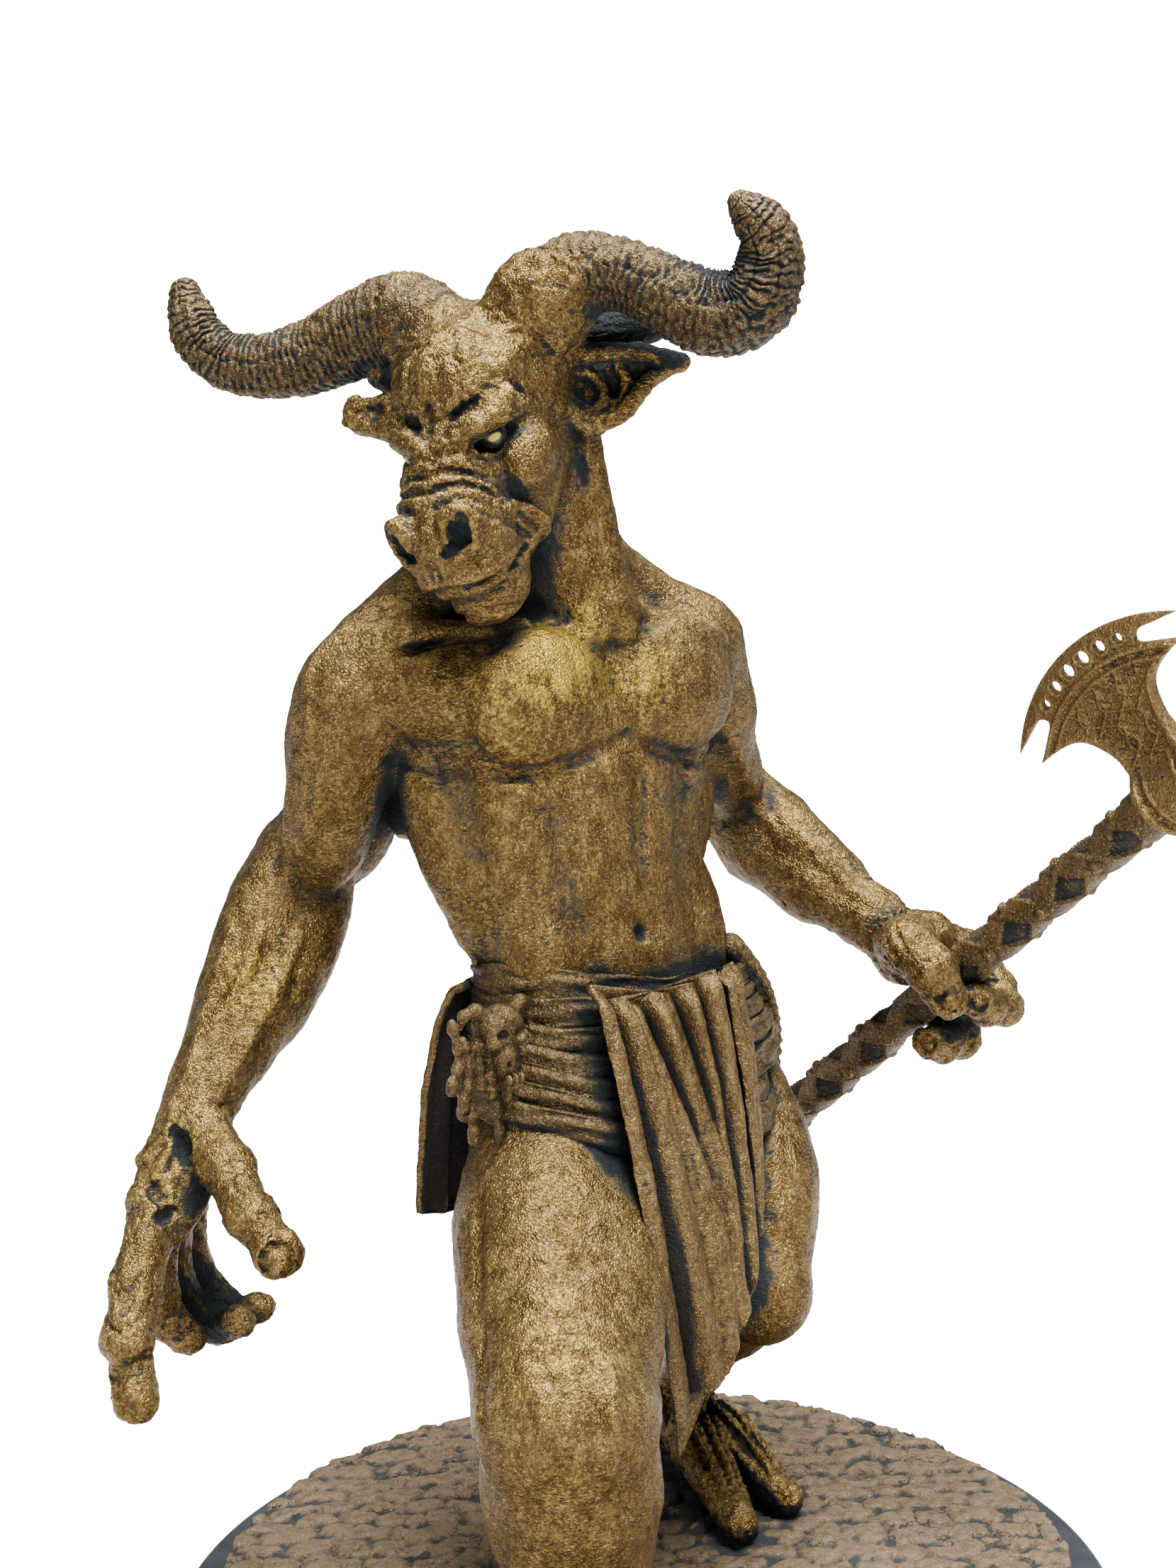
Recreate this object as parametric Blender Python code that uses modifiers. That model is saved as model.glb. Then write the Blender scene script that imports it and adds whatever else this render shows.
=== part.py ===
"""Horned warrior statue with an axe, on a cobbled ground and a round plinth."""

from math import cos, pi, radians, sin

import bmesh
import bpy
import numpy as np
from mathutils import Matrix, Vector

for leftover in list(bpy.data.objects):
    bpy.data.objects.remove(leftover, do_unlink=True)

# Overall height, and the length of one unit. The figure is laid out in units on a statue 243.2 units tall.
STATUE_HEIGHT = 0.2432
UNIT = STATUE_HEIGHT / 243.2

# Plinth and ground, in units.
PLINTH_RADIUS = 80.0
PLINTH_HEIGHT = 12.0
GROUND_RADIUS = 73.0
GROUND_TOP = 18.0
GAP = 0.3

# Axe, in units.
SHAFT_RADIUS = 3.8
SOCKET_RADIUS = SHAFT_RADIUS + 1.3
BLADE_REACH = 27.4
BLADE_THICKNESS = 2.4

# Grain of the figure's surface and how many triangles it keeps.
CLAY_GRAIN = 0.85
FIGURE_TRIANGLES = 6650

UPRIGHT = np.eye(3)

# The nodes sit in the statue's own collection, everything that only shapes them in another.
statue = bpy.data.collections.new("minotaur_statue")
cutters = bpy.data.collections.new("cutters")
for collection in (statue, cutters):
    bpy.context.scene.collection.children.link(collection)
base = bpy.data.objects.new("statue_base", None)
statue.objects.link(base)


def material(name, colour, metallic, roughness):
    """A plain surface for one node."""
    made = bpy.data.materials.new(name)
    made.use_nodes = True
    shader = made.node_tree.nodes["Principled BSDF"]
    shader.inputs["Base Color"].default_value = (*colour, 1)
    shader.inputs["Metallic"].default_value = metallic
    shader.inputs["Roughness"].default_value = roughness
    made.diffuse_color = (*colour, 1)
    return made


def node(name, mesh, surface=None, helper=False):
    """An object holding the mesh; a helper only cuts others."""
    made = bpy.data.objects.new(name, mesh)
    (cutters if helper else statue).objects.link(made)
    made.hide_render = helper
    if helper:
        made.display_type = "WIRE"
    else:
        made.parent = base
    if surface:
        mesh.materials.append(surface)
    return made


def mesh_of(shape, name, scale=UNIT):
    """The finished mesh of a bmesh, scaled from units to metres."""
    shape.normal_update()
    bmesh.ops.recalc_face_normals(shape, faces=shape.faces[:])
    bmesh.ops.scale(shape, vec=(scale, scale, scale), verts=shape.verts[:])
    mesh = bpy.data.meshes.new(name)
    shape.to_mesh(mesh)
    shape.free()
    return mesh


def add_modifier(target, kind, **settings):
    made = target.modifiers.new(kind.lower(), kind)
    for key, value in settings.items():
        setattr(made, key, value)
    return made


def boolean(target, other, operation):
    """Exact union or intersection with a helper, or difference from it."""
    return add_modifier(target, "BOOLEAN", operation=operation, solver="EXACT", object=other)


def evaluated_mesh(source, name):
    """The mesh that the object's modifiers give."""
    graph = bpy.context.evaluated_depsgraph_get()
    return bpy.data.meshes.new_from_object(source.evaluated_get(graph), depsgraph=graph)


def smooth_shaded(mesh, degrees=35):
    """The mesh shaded round, with its edges kept crisp where it turns by more than the angle."""
    mesh.shade_smooth()
    mesh.set_sharp_from_angle(angle=radians(degrees))
    return mesh


def extruded(outline, thickness, name):
    """Mesh of a closed flat outline in X and Y, thickened evenly to both sides."""
    curve = bpy.data.curves.new(name, "CURVE")
    curve.dimensions = "2D"
    curve.fill_mode = "BOTH"
    curve.extrude = thickness / 2 * UNIT
    line = curve.splines.new("POLY")
    line.points.add(len(outline) - 1)
    for point, (x, y) in zip(line.points, outline):
        point.co = (x * UNIT, y * UNIT, 0, 1)
    line.use_cyclic_u = True
    drawn = bpy.data.objects.new(name, curve)
    cutters.objects.link(drawn)
    bpy.context.view_layer.update()
    shape = bmesh.new()
    shape.from_mesh(evaluated_mesh(drawn, name))
    bpy.data.objects.remove(drawn, do_unlink=True)
    bmesh.ops.remove_doubles(shape, verts=shape.verts[:], dist=0.00001)
    return mesh_of(shape, name, 1)


def round_bar(shape, radius, length, sides, place):
    """Adds a capped round bar along the place's own Z."""
    sizes = {"radius1": radius, "radius2": radius, "depth": length}
    bmesh.ops.create_cone(shape, cap_ends=True, segments=sides, matrix=place, **sizes)


# Everything added to the figure, and everything hollowed out of it.
solid_clay = bmesh.new()
hollows = bmesh.new()


def matrix(axes_rows, centre, scales=(1, 1, 1)):
    """Matrix taking a unit shape to the given axes, sizes and centre."""
    columns = [Vector(axis) * size for axis, size in zip(axes_rows, scales)]
    placed = Matrix(columns).transposed().to_4x4()
    placed.translation = Vector(centre)
    return placed


def limb(start, end, start_radius, end_radius, blend=2, cut=False):
    """Round bar between two points: the hull of a ball at each end."""
    pool = hollows if cut else solid_clay
    bar_shape = bmesh.new()
    for centre, radius in ((start, start_radius), (end, end_radius)):
        place = Matrix.Translation(Vector(centre))
        bmesh.ops.create_icosphere(bar_shape, subdivisions=2, radius=radius, matrix=place)
    hull = bmesh.ops.convex_hull(bar_shape, input=bar_shape.verts[:])["geom"]
    outer = [face for face in hull if isinstance(face, bmesh.types.BMFace)]
    copies = {}
    for face in outer:
        for vertex in face.verts:
            if vertex not in copies:
                copies[vertex] = pool.verts.new(vertex.co)
        pool.faces.new([copies[vertex] for vertex in face.verts])
    bar_shape.free()


def spline(points, steps):
    """Points of a smooth curve through the given ones."""
    points = np.array(points, float)
    padded = np.vstack([2 * points[0] - points[1], points, 2 * points[-1] - points[-2]])
    t = np.linspace(0, 1, steps, endpoint=False)[:, None]
    spans = []
    for a, b, c, d in zip(padded, padded[1:], padded[2:], padded[3:]):
        bend = (2 * a - 5 * b + 4 * c - d) * t**2 + (3 * b - a - 3 * c + d) * t**3
        spans.append((2 * b + (c - a) * t + bend) / 2)
    return np.vstack(spans + [points[-1:]])


def chain(points, radii, blend=2, cut=False, smooth=0):
    """Round bars end to end, on request along a smooth curve."""
    if smooth:
        points, radii = spline(points, smooth), spline([[r] for r in radii], smooth)[:, 0]
    for a, b, first, last in zip(points, points[1:], radii, radii[1:]):
        limb(a, b, first, last, blend, cut)


def lump(centre, sizes, axes_rows, blend=2, cut=False):
    """Egg shape with the given half sizes along the given axes."""
    pool = hollows if cut else solid_clay
    bmesh.ops.create_icosphere(pool, subdivisions=3, radius=1, matrix=matrix(axes_rows, centre, sizes))


def muscle(start, end, wide, deep, facing, blend=2, cut=False, extra=1.0):
    """Spindle between two points, wide across and deep towards the facing direction."""
    start, end, facing = (np.array(v, float) for v in (start, end, facing))
    along = end - start
    half = np.linalg.norm(along) / 2 * extra
    along = along / np.linalg.norm(along)
    facing = facing - (facing @ along) * along
    facing = facing / np.linalg.norm(facing)
    lump((start + end) / 2, (half, wide, deep), (along, np.cross(along, facing), facing), blend, cut)

# The trunk is a stack of cross sections: height, place of the spine and how far the body is turned there.
SPINE_Z = [85, 105, 119, 130, 145, 160, 200]
SPINE_X = [-0.5, -1, -3.2, -6.3, -7.6, -7.0, -9]
SPINE_Y = [7, 7, 5.5, 4, 5, 6, 9]
SPINE_TURN = [40, 40, 40, 40, 38, 36, 33]
FRONT = (0, -1, 0)


def turned(vector, degrees):
    """The vector turned about the upright axis."""
    a = radians(degrees)
    x, y, z = vector
    return np.array([x * cos(a) - y * sin(a), x * sin(a) + y * cos(a), z])


def axes(z):
    """The trunk's own left, front and up at height z."""
    turn = np.interp(z, SPINE_Z, SPINE_TURN)
    return turned((1, 0, 0), turn), turned((0, -1, 0), turn), np.array([0, 0, 1.0])


def torso(left, front, z):
    """A point given from the spine at height z, towards the body's left and front."""
    spine = np.array([np.interp(z, SPINE_Z, SPINE_X), np.interp(z, SPINE_Z, SPINE_Y), z])
    return spine + left * axes(z)[0] + front * axes(z)[1]


# The head is bowed, leans to one side and looks over the statue's right hand.
HEAD_BOW, HEAD_LEAN, HEAD_LOOK = radians(32), radians(11), -26
HEAD_CENTRE = np.array([-19.6, -8.0, 217.0])
level = np.array([1.0, 0, 0])
ahead = np.array([0, -cos(HEAD_BOW), -sin(HEAD_BOW)])
above = np.array([0, -sin(HEAD_BOW), cos(HEAD_BOW)])
lean_side = cos(HEAD_LEAN) * level + sin(HEAD_LEAN) * above
lean_up = cos(HEAD_LEAN) * above - sin(HEAD_LEAN) * level
HEAD_AXES = [turned(v, HEAD_LOOK) for v in (lean_side, ahead, lean_up)]


def head(left, front, up):
    """A point given from the middle of the skull in the head's own directions."""
    return HEAD_CENTRE + left * HEAD_AXES[0] + front * HEAD_AXES[1] + up * HEAD_AXES[2]


# The axe's shaft runs up through the left fist; the fingers are placed around its line.
SHAFT_FOOT = np.array([32.8, 48, 83.0])
SHAFT_TOP = np.array([86.3, -21.5, 152.3])
SHAFT = (SHAFT_TOP - SHAFT_FOOT) / np.linalg.norm(SHAFT_TOP - SHAFT_FOOT)
NEAR = np.array([0, -1.0, 0]) + SHAFT[1] * SHAFT
NEAR = NEAR / np.linalg.norm(NEAR)
UNDER = np.cross(SHAFT, NEAR)
GRIP = np.array([53.1, 22, 109.2])


def beside_shaft(near, under, along):
    """A point given from the grip: towards the front, below the shaft, and along it."""
    return GRIP + near * NEAR + under * UNDER + along * SHAFT


def trunk():
    """Rib cage, belly, hips, back, chest muscles, ribs and navel."""
    a = axes(157)
    lump(torso(0, -1, 157), (25.5, 15, 25), a)
    lump(torso(0, -4, 168), (28.5, 11, 11.5), axes(170), 4)
    lump(torso(0, 0, 140), (22, 13, 20), axes(140), 4)
    lump(torso(0, 0, 122), (21.5, 13, 22), axes(124), 4)
    lump(torso(0, 0, 106), (21.6, 15, 15), axes(106), 4)
    muscle((-31, 5, 160), (-35.5, 4, 143), 4.6, 6, FRONT, 4)
    for s in (-1, 1):
        muscle(torso(s * 27.3, -5, 164), torso(s * 15.2, -4, 122), 8.1, 7, a[1], 3)
        muscle(torso(s * 16.5, 4.5, 140), torso(s * 15.5, 6, 112), 6, 6, a[1], 3)
        back = [(4.5, -9.5, 176), (5, -10.5, 150), (4.5, -9, 130), (5, -9, 112)]
        chain([torso(s * left, front, z) for left, front, z in back], [5, 5.4, 4.6, 5], 2)
        muscle(torso(s * 18, -10.5, 175), torso(s * 11, -12, 155), 7.5, 5, a[1], 2)
        muscle(torso(s * 24, -7, 168), torso(s * 13, -10, 140), 7.5, 5, a[1], 2)
        lump(torso(s * 9.5, -9, 100), (10.5, 9.5, 11), axes(100), 2)
    lump(torso(0, -9, 178), (11, 6, 11), a, 4)
    for s, reach in ((-1, 35), (1, 27)):
        lump(torso(s * 12.5, 9.3, 166.5), (13.4, 7.0, 11.8), a, 1.2)
        muscle(torso(s * 4, 10.8, 168), torso(s * reach, -3, 168), 9, 6.6, a[1], 2.2)
        limb(torso(s * 3, 11.5, 176.5), torso(s * (reach - 6), -2, 178), 1.8, 2.0, 2.0)
    for s in (-1, 1):
        for z, f in ((151.5, 12.2), (144.2, 12.0), (136.8, 11.6)):
            lump(torso(s * 4.8, f, z), (4.6, 2.3, 3.9), axes(z), 2.2)
        muscle(torso(s * 4.8, 11, 133.5), torso(s * 3.5, 11.2, 112), 5.2, 2.9, axes(124)[1], 2)
        for i in range(4):
            z = 154 - 5.2 * i
            start = torso(s * (14.5 - i * 0.3), 11.6 - i * 0.5, z - 3)
            muscle(start, torso(s * (23 - i), 5.5 - i * 0.2, z + 2.5), 1.8, 1.6, a[1], 2.0)
    lump(torso(0, 14.4, 128.3), (1.2, 3, 1.5), axes(128), 1.5, cut=True)


def neck():
    """Thick neck with its cords and the slopes down to both shoulders."""
    chain([(-7, 12, 174), (-9, 10, 188), (-14, 3, 206)], [11.5, 9.2, 9.2], 4)
    limb((-5, 15, 187), (13, 20, 174), 5.2, 5.5, 4)
    limb((-5, 19, 182), (9, 23, 170), 7, 7, 4)
    limb((-14, 9, 194.5), (-38, -1, 176), 7.5, 6.3, 4)
    limb((-14, 14, 188), (-33, 8, 173.5), 8, 7.7, 4)
    chain([(-8.3, 18, 174), (-10.6, 16, 189), (-14.6, 9, 205)], [12.2, 9.6, 9.4], 4)
    for s in (-1, 1):
        limb(head(s * 9, -5, -14), torso(s * 3, 11.5, 177.5), 3.0, 2.4, 2)
    limb(head(0, 0, -14), torso(0, 6, 181), 7, 8, 3)


def right_arm():
    """Arm hanging away from the body."""
    muscle((-35.7, -5, 180.3), (-47.9, -1, 149), 10.3, 9.5, FRONT, 2.5)
    muscle((-33, -9, 178.5), (-46, -5, 151), 6.8, 5.5, FRONT, 1.5)
    limb((-42.5, -4, 168), (-51, 9, 139), 8, 6.5, 3)
    muscle((-41.5, -8, 163), (-50.5, 2, 135), 7.2, 6.5, FRONT, 1.2)
    muscle((-38.4, 4, 168), (-47.4, 14, 134), 7.9, 6.5, FRONT, 2)
    forearm = [(-53.2, 10, 139.5), (-56, 8, 131), (-58, 4, 124), (-61, -1, 117.5), (-64.6, -6, 111.5),
               (-67.8, -10, 106.3), (-69.5, -13, 102)]
    chain(forearm, [7.9, 9.3, 8.9, 8.1, 6.7, 5.6, 5.7], 3)
    muscle((-54, 5, 145), (-68, -5, 112), 5.5, 5.5, FRONT, 1.6)
    muscle((-49.6, 6, 136), (-61, -5, 110), 5.4, 5.2, FRONT, 1.6)


def right_hand():
    """Broad palm, thumb and curled fingers."""
    muscle((-68.6, -12, 104), (-75.6, -23, 84), 6.3, 4.3, FRONT, 2.5, extra=1.08)
    thumb = [(-68.5, -15, 101.5), (-63.5, -22, 96.5), (-59, -30, 91.2), (-54.5, -34.5, 87)]
    chain(thumb, [4.3, 4.1, 3.5, 3.3], 1.6)
    pointing = [(-75.2, -21, 90), (-77.7, -28, 80), (-79.2, -33.5, 73.5), (-77.8, -36.5, 64.6)]
    chain(pointing, [4.1, 4.0, 3.9, 3.5], 1.2)
    middle = [(-74.5, -17.5, 89), (-76.5, -16, 77.5), (-76, -14, 69.5), (-72, -14, 66.8)]
    chain(middle, [4.0, 3.5, 3.1, 2.8], 1.2)
    ring = [(-73, -13, 89), (-75.2, -8.5, 77), (-73, -6.5, 69), (-68, -8, 67), (-64.5, -10.5, 69)]
    chain(ring, [3.8, 3.3, 3.0, 2.8, 2.5], 1.2)
    little = [(-71, -8.5, 89), (-72.5, -3, 78), (-70.5, -0.5, 70), (-65.5, -3, 67.5), (-62, -6, 70)]
    chain(little, [3.6, 3.1, 2.8, 2.7, 2.4], 1.2)


def left_arm():
    """Arm reaching back and out to the shaft."""
    muscle((9.6, 18, 176.6), (21, 32, 150), 9.8, 8.8, FRONT, 2.5)
    lump((12.2, 20, 172.4), (10.2, 9, 9), UPRIGHT, 4)
    limb((14, 24, 168), (21, 47, 141), 7.3, 6.4, 3)
    muscle((14, 21, 163), (23, 42, 140), 6.3, 6, FRONT, 1.6)
    muscle((13, 30, 166), (20, 51, 139), 6.5, 6, FRONT, 2)
    chain([(21.7, 48, 141), (27, 43, 136.2), (35, 36, 129.6), (44, 28, 122.6)], [7.5, 8.6, 7.5, 5.4], 3)
    muscle((20, 45, 148), (41, 30, 127), 4.8, 4.8, FRONT, 1.6)
    chain([(44, 28, 122.6), beside_shaft(-4.5, -9.2, 2)], [5.2, 5.0], 3)


def left_hand():
    """Fist closed about the shaft."""
    lump(beside_shaft(-4.2, -6.4, 2.2), (8.6, 5.4, 5.8), (SHAFT, NEAR, UNDER), 3)
    fingers = ((8.6, 262, 18, 3.5), (2.2, 262, -6, 3.5), (-3.8, 262, 22, 3.2), (-8.2, 258, 60, 2.6))
    for along, start, end, r in fingers:
        turns = [radians(start + (end - start) * i / 6) for i in range(7)]
        finger = [beside_shaft(7.4 * cos(t), 7.4 * sin(t), along) for t in turns]
        chain(finger, [r] * 6 + [r * 0.9], 0.8)
    thumb = ((-2, -9.8, 5), (3.8, -7.6, 10), (7.2, -2.6, 9.2), (8.1, 1.6, 5.8))
    chain([beside_shaft(*place) for place in thumb], [4.2, 3.7, 3.3, 3.1], 1.2)


def right_leg():
    """Leg stepping forward: thigh, knee, shin, fetlock and split hoof."""
    chain([(-12, 2, 101), (-13, -20, 84), (-11.5, -42, 66)], [12.5, 14.0, 12.5], 4)
    muscle((-16, 0, 104), (-18.9, -44, 66.5), 9.8, 9.5, FRONT, 3)
    muscle((-6.5, -6, 98), (-3.2, -43, 65), 8.6, 9, FRONT, 3)
    lump((-11.2, -47, 63), (13, 9, 10), UPRIGHT, 4)
    shin = [(-11, -43, 62), (-10.3, -41, 50), (-10.6, -39.5, 40), (-11, -40, 30), (-11, -42, 26)]
    chain(shin, [12.8, 12.2, 10.8, 7.6, 7], 4)
    muscle((-17, -38, 62), (-15, -38, 36), 7, 8, FRONT, 3)
    muscle((-4.5, -38, 62), (-6.5, -37, 38), 6.5, 8, FRONT, 3)
    for s in (-1, 1):
        toe = [(-11 + 2.5 * s, -42, 26), (-11 + 4.6 * s, -50, 23), (-11 + 5.6 * s, -60, 20.4)]
        chain(toe, [6, 5.2, 3.4], 1.2)
        limb((-11 + 4 * s, -36, 23), (-11 + 4.5 * s, -32, 20.5), 3.2, 2.4, 2)


def left_leg():
    """Leg left behind: thigh, bent knee, calf, fetlock and split hoof."""
    chain([(15, 24, 98), (18.2, 10, 82), (21.5, -3, 66)], [11.5, 11.5, 7.5], 4)
    muscle((18.8, 22, 101), (24.4, -4, 68), 9.7, 9.4, FRONT, 3)
    muscle((11, 20, 96), (19, -2, 68), 8, 8.5, FRONT, 3)
    lump((21.5, -4, 66.5), (7.2, 6, 8), UPRIGHT, 3)
    shin = [(21, -2, 65), (17.2, 12, 56), (12.5, 26, 45.5), (8.6, 34.5, 34), (8, 37, 26)]
    chain(shin, [7.0, 6.6, 5.8, 4.9, 5.2], 3)
    muscle((17, 6, 62), (9.5, 34, 40), 5.8, 6.2, (0, 1, 0.5), 3)
    chain([(8, 37, 28), (11.5, 26, 25), (17, 6, 20.8)], [5.4, 5.0, 3.3], 1.2)
    chain([(9, 38, 28), (17, 31, 25), (25, 16.5, 20.8)], [5.2, 4.8, 3.3], 1.2)
    limb((6, 41, 25), (3, 44, 20.5), 3.4, 2.4, 2)


def face():
    """Skull, brow, eyes, muzzle with nostrils, jaw and mouth."""
    a = HEAD_AXES
    lump(head(0, -3, -3), (12.2, 15, 12.4), a, 3)
    lump(head(-0.4, 6, -1.8), (11.4, 10, 8.5), a, 3)
    chain([head(-0.5, 12, -4.5), head(-0.5, 21, -9.5)], [7.4, 7.6], 3)
    lump(head(0.2, 24, -13.2), (8.5, 9.8, 8.6), a, 2.5)
    lump(head(-0.4, 22.5, -23.4), (6.2, 7.4, 5.4), a, 0.8)
    lump(head(0, 4, 6.4), (6.4, 8.4, 4.6), a, 3)
    for s in (-1, 1):
        muscle(head(s * 1.2, 16.8, -1.6), head(s * 11.2, 9.5, 1.6), 2.4, 3.0, a[1], 1.2)
        lump(head(s * 8.6, 10, -8.5), (4.0, 5.5, 4.0), a, 2)
        muscle(head(s * 7.6, -2, -10), head(s * 4.6, 20, -20.5), 5.0, 3.6, a[0], 3)
        lump(head(0.3 + s * 4.6, 28.2, -8.8), (3.2, 4.4, 3.8), a, 1.0)
        lump(head(s * 7.2, 14.6, -3.6), (3.2, 3.2, 1.9), a, 0.8, cut=True)
        lump(head(s * 6.8, 12.6, -3.5), (2.4, 2.4, 1.9), a, 0.3)
        lump(head(0.2 + s * 5.2, 32.4, -8.8), (1.2, 3.2, 2.6), a, 0.5, cut=True)
        mouth = ((0, 35, -17.8), (6, 31.5, -18.6), (9.2, 24, -20.2), (9.8, 19, -20.8))
        chain([head(s * left, front, up) for left, front, up in mouth], [1.0, 1.0, 1.0, 0.8], 0.6, cut=True)


def ears():
    """Left ear as a pointed cup below the horn, and the small right ear seen edge on."""
    edge = [(11.0, -4.4, 218.4), (8.6, -4.9, 216.4), (6.4, -5.3, 214), (4.4, -5.6, 211.9),
            (1.9, -5.8, 210.9), (-0.6, -5.9, 210.3), (-3.0, -6, 209.4)]
    for place in edge:
        limb((-8.0, 0.5, 214.5), place, 4.2, 1.5, 1.6)
    rim = [(-5.6, -6.4, 210.6), (-8.6, -6.4, 214.5), (-8.5, -6.0, 219.4), (-3, -6.4, 220.2), (5, -5.6, 220.2)]
    chain(rim + [(11.2, -4.4, 218.8)], [1.6, 1.8, 1.9, 1.6, 1.5, 1.1], 1.2)
    lump((-0.2, -8.6, 215.0), (5.6, 4.8, 4.2), UPRIGHT, 0.8, cut=True)
    lump((5.2, -7.4, 217.2), (4.2, 2.6, 2.0), UPRIGHT, 0.6, cut=True)
    limb((-8, 3, 220.5), (7, 1, 225.4), 5, 3.5, 2)
    limb((-24, -1, 219), (-35, 2, 219.0), 5.0, 3.4, 2)
    limb((-32, -5, 211.5), (-39.6, -1.6, 212.6), 3.4, 2.4, 1.5)
    limb((-34, -3, 214.5), (-40.2, -2.4, 213.8), 2.6, 1.4, 1.0)


# Middle line of each horn from the skull to the tip, with its half thickness there.
LEFT_HORN = [(-15.2, -6, 220.4), (-10.6, -8.5, 228.6), (-4.8, -10, 232.3), (2.8, -12, 231.8),
             (9.7, -14, 228.7), (15.3, -15, 226.0), (20.5, -16, 226.3), (23.2, -17, 228.8),
             (24.4, -18, 233.2), (23.6, -19, 236.9), (21.6, -19.5, 239.6), (20.4, -20, 241.4)]
LEFT_HORN_R = [7.0, 7.3, 6.7, 5.7, 5.8, 6.3, 6.0, 5.6, 5.0, 4.3, 3.3, 2.35]
RIGHT_HORN = [(-24.0, -3, 220.2), (-31, 0, 226.0), (-39, 4, 224.9), (-47.3, 7, 221.9),
              (-54.5, 9, 220.8), (-60, 11, 221.3), (-63.6, 12, 222.9), (-66.4, 13, 225.8),
              (-67.9, 14, 229.6), (-68.8, 15, 232.2)]
RIGHT_HORN_R = [7.0, 7.9, 7.1, 6.1, 5.4, 4.9, 4.6, 4.4, 3.8, 2.7]


def waist_wraps():
    """Turns of cloth wound about the hips, sagging towards the right thigh."""
    for i in range(6):
        ring, thick = [], []
        for k in range(25):
            t = 2 * pi * k / 24
            drop = (1.0 + 0.5 * i) * max(0, sin(t)) + 1.0 * sin(2 * t + i)
            z = 120.2 - 2.2 * cos(t - 0.35) - 3.6 * i - drop
            push = 1.0 * i * max(0, cos(t - 2.2))
            left, front = (21.8 + 0.75 * i + push) * cos(t), (15.2 + 0.7 * i + push) * sin(t)
            ring.append(torso(left, front, z))
            thick.append(1.8 + 0.35 * sin(3 * t + 2 * i))
        chain(ring, thick, 0.8)
    lump(torso(0, 0, 107), (22.8, 16.5, 12), axes(107), 2)


def front_cloth():
    """Long front fall of the loincloth: folds from the belt to a point beside the right knee."""
    for i in range(7):
        t = i / 6
        fold = [(-5.5 + 20.5 * t, -16.5 + 10 * t, 119.5 - 2.0 * sin(pi * t)),
                (-1.0 + 17.5 * t, -23.5 + 14.5 * t, 98.0),
                (3.2 + 14.4 * t, -28 + 13.5 * t, 76.0),
                (5.2 + 12.2 * t, -27 + 11 * t, 49 + 20.5 * t ** 1.3)]
        swell = (0.25, -0.35, 0.6, -0.3, 0.7, -0.2, 0.5)[i]
        chain(fold, [1.4, 1.9 + swell, 2.2 + swell, 1.7 + swell * 0.5], 0.9, smooth=3)
    for i in range(4):
        t = i / 3
        fold = [(15.5 + 5 * t, -2.5 + 12 * t, 118 - t), (17.3 + 6.2 * t, -6.5 + 14 * t, 100),
                (18.2 + 3 * t, -8.5 + 10 * t, 80.5 + 14 * t)]
        chain(fold, [1.5, 1.9, 1.5], 0.9, smooth=3)


def rear_cloth():
    """Plainer rear fall of the loincloth down to the middle of the thighs."""
    for i in range(12):
        t = i / 11
        left = -31 + 50 * t
        front = 2 - 16.5 * cos((t - 0.5) * 2.1)
        swell = 0.35 * sin(2.4 * i)
        hem = torso(left * 1.12, front - 4.5, 80.5 - 5 * sin(pi * t))
        fold = [torso(left * 0.82, front * 0.95, 119), torso(left, front - 2.0, 100), hem]
        chain(fold, [1.5, 2.3 + swell, 2.0 + swell], 0.9, smooth=3)


def ornaments():
    """Small skull with tassels on the right of the belt and a knotted strap on the left hip."""
    a = axes(113)
    skull = np.array([-19.6, -19.5, 115.0])
    lump(skull + (0, 0, 1.5), (4.2, 3.6, 4.0), a, 0.8)
    lump(skull + (0, -0.6, -3.6), (2.7, 2.6, 2.8), a, 0.8)
    for s in (-1, 1):
        lump(skull + s * 1.7 * a[0] + 3.6 * a[1] + (0, 0, 0.6), (1.1, 1.5, 1.3), a, 0.3, cut=True)
        chain([skull + s * 3 * a[0] + (0, 0, 3), skull + s * 5.5 * a[0] + (0, 0, 6)], [1.4, 1.0], 0.6)
    for s in (-1, 0, 1):
        tassel = [skull + s * 2.0 * a[0] + (0, 1.5, -5), skull + s * 2.8 * a[0] + (0, 1.2, -10)]
        tassel.append(skull + s * 2.8 * a[0] + (0, 1.0, -14 - 3 * (s == 0)))
        chain(tassel, [1.3, 1.4, 1.1], 0.5)
    strap = [torso(20.5, 9, 119.5), torso(23.8, 7.5, 112), torso(25.5, 4, 105), torso(27, 1, 97)]
    chain(strap, [2.4, 2.2, 2.0, 1.6], 0.8)


def largest_island(mesh, name):
    """The mesh without the loose scraps left inside folds."""
    shape = bmesh.new()
    shape.from_mesh(mesh)
    left = set(shape.verts)
    islands = []
    while left:
        first = left.pop()
        island, edge = {first}, [first]
        while edge:
            vertex = edge.pop()
            for link in vertex.link_edges:
                other = link.other_vert(vertex)
                if other in left:
                    left.discard(other)
                    island.add(other)
                    edge.append(other)
        islands.append(island)
    islands.sort(key=len)
    for island in islands[:-1]:
        bmesh.ops.delete(shape, geom=list(island), context="VERTS")
    return mesh_of(shape, name, 1)


def box(centre, size, name):
    """Plain box as a helper."""
    shape = bmesh.new()
    bmesh.ops.create_cube(shape, size=1, matrix=Matrix.Translation(centre) @ Matrix.Diagonal((*size, 1)))
    return node(name, mesh_of(shape, name), helper=True)


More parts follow.
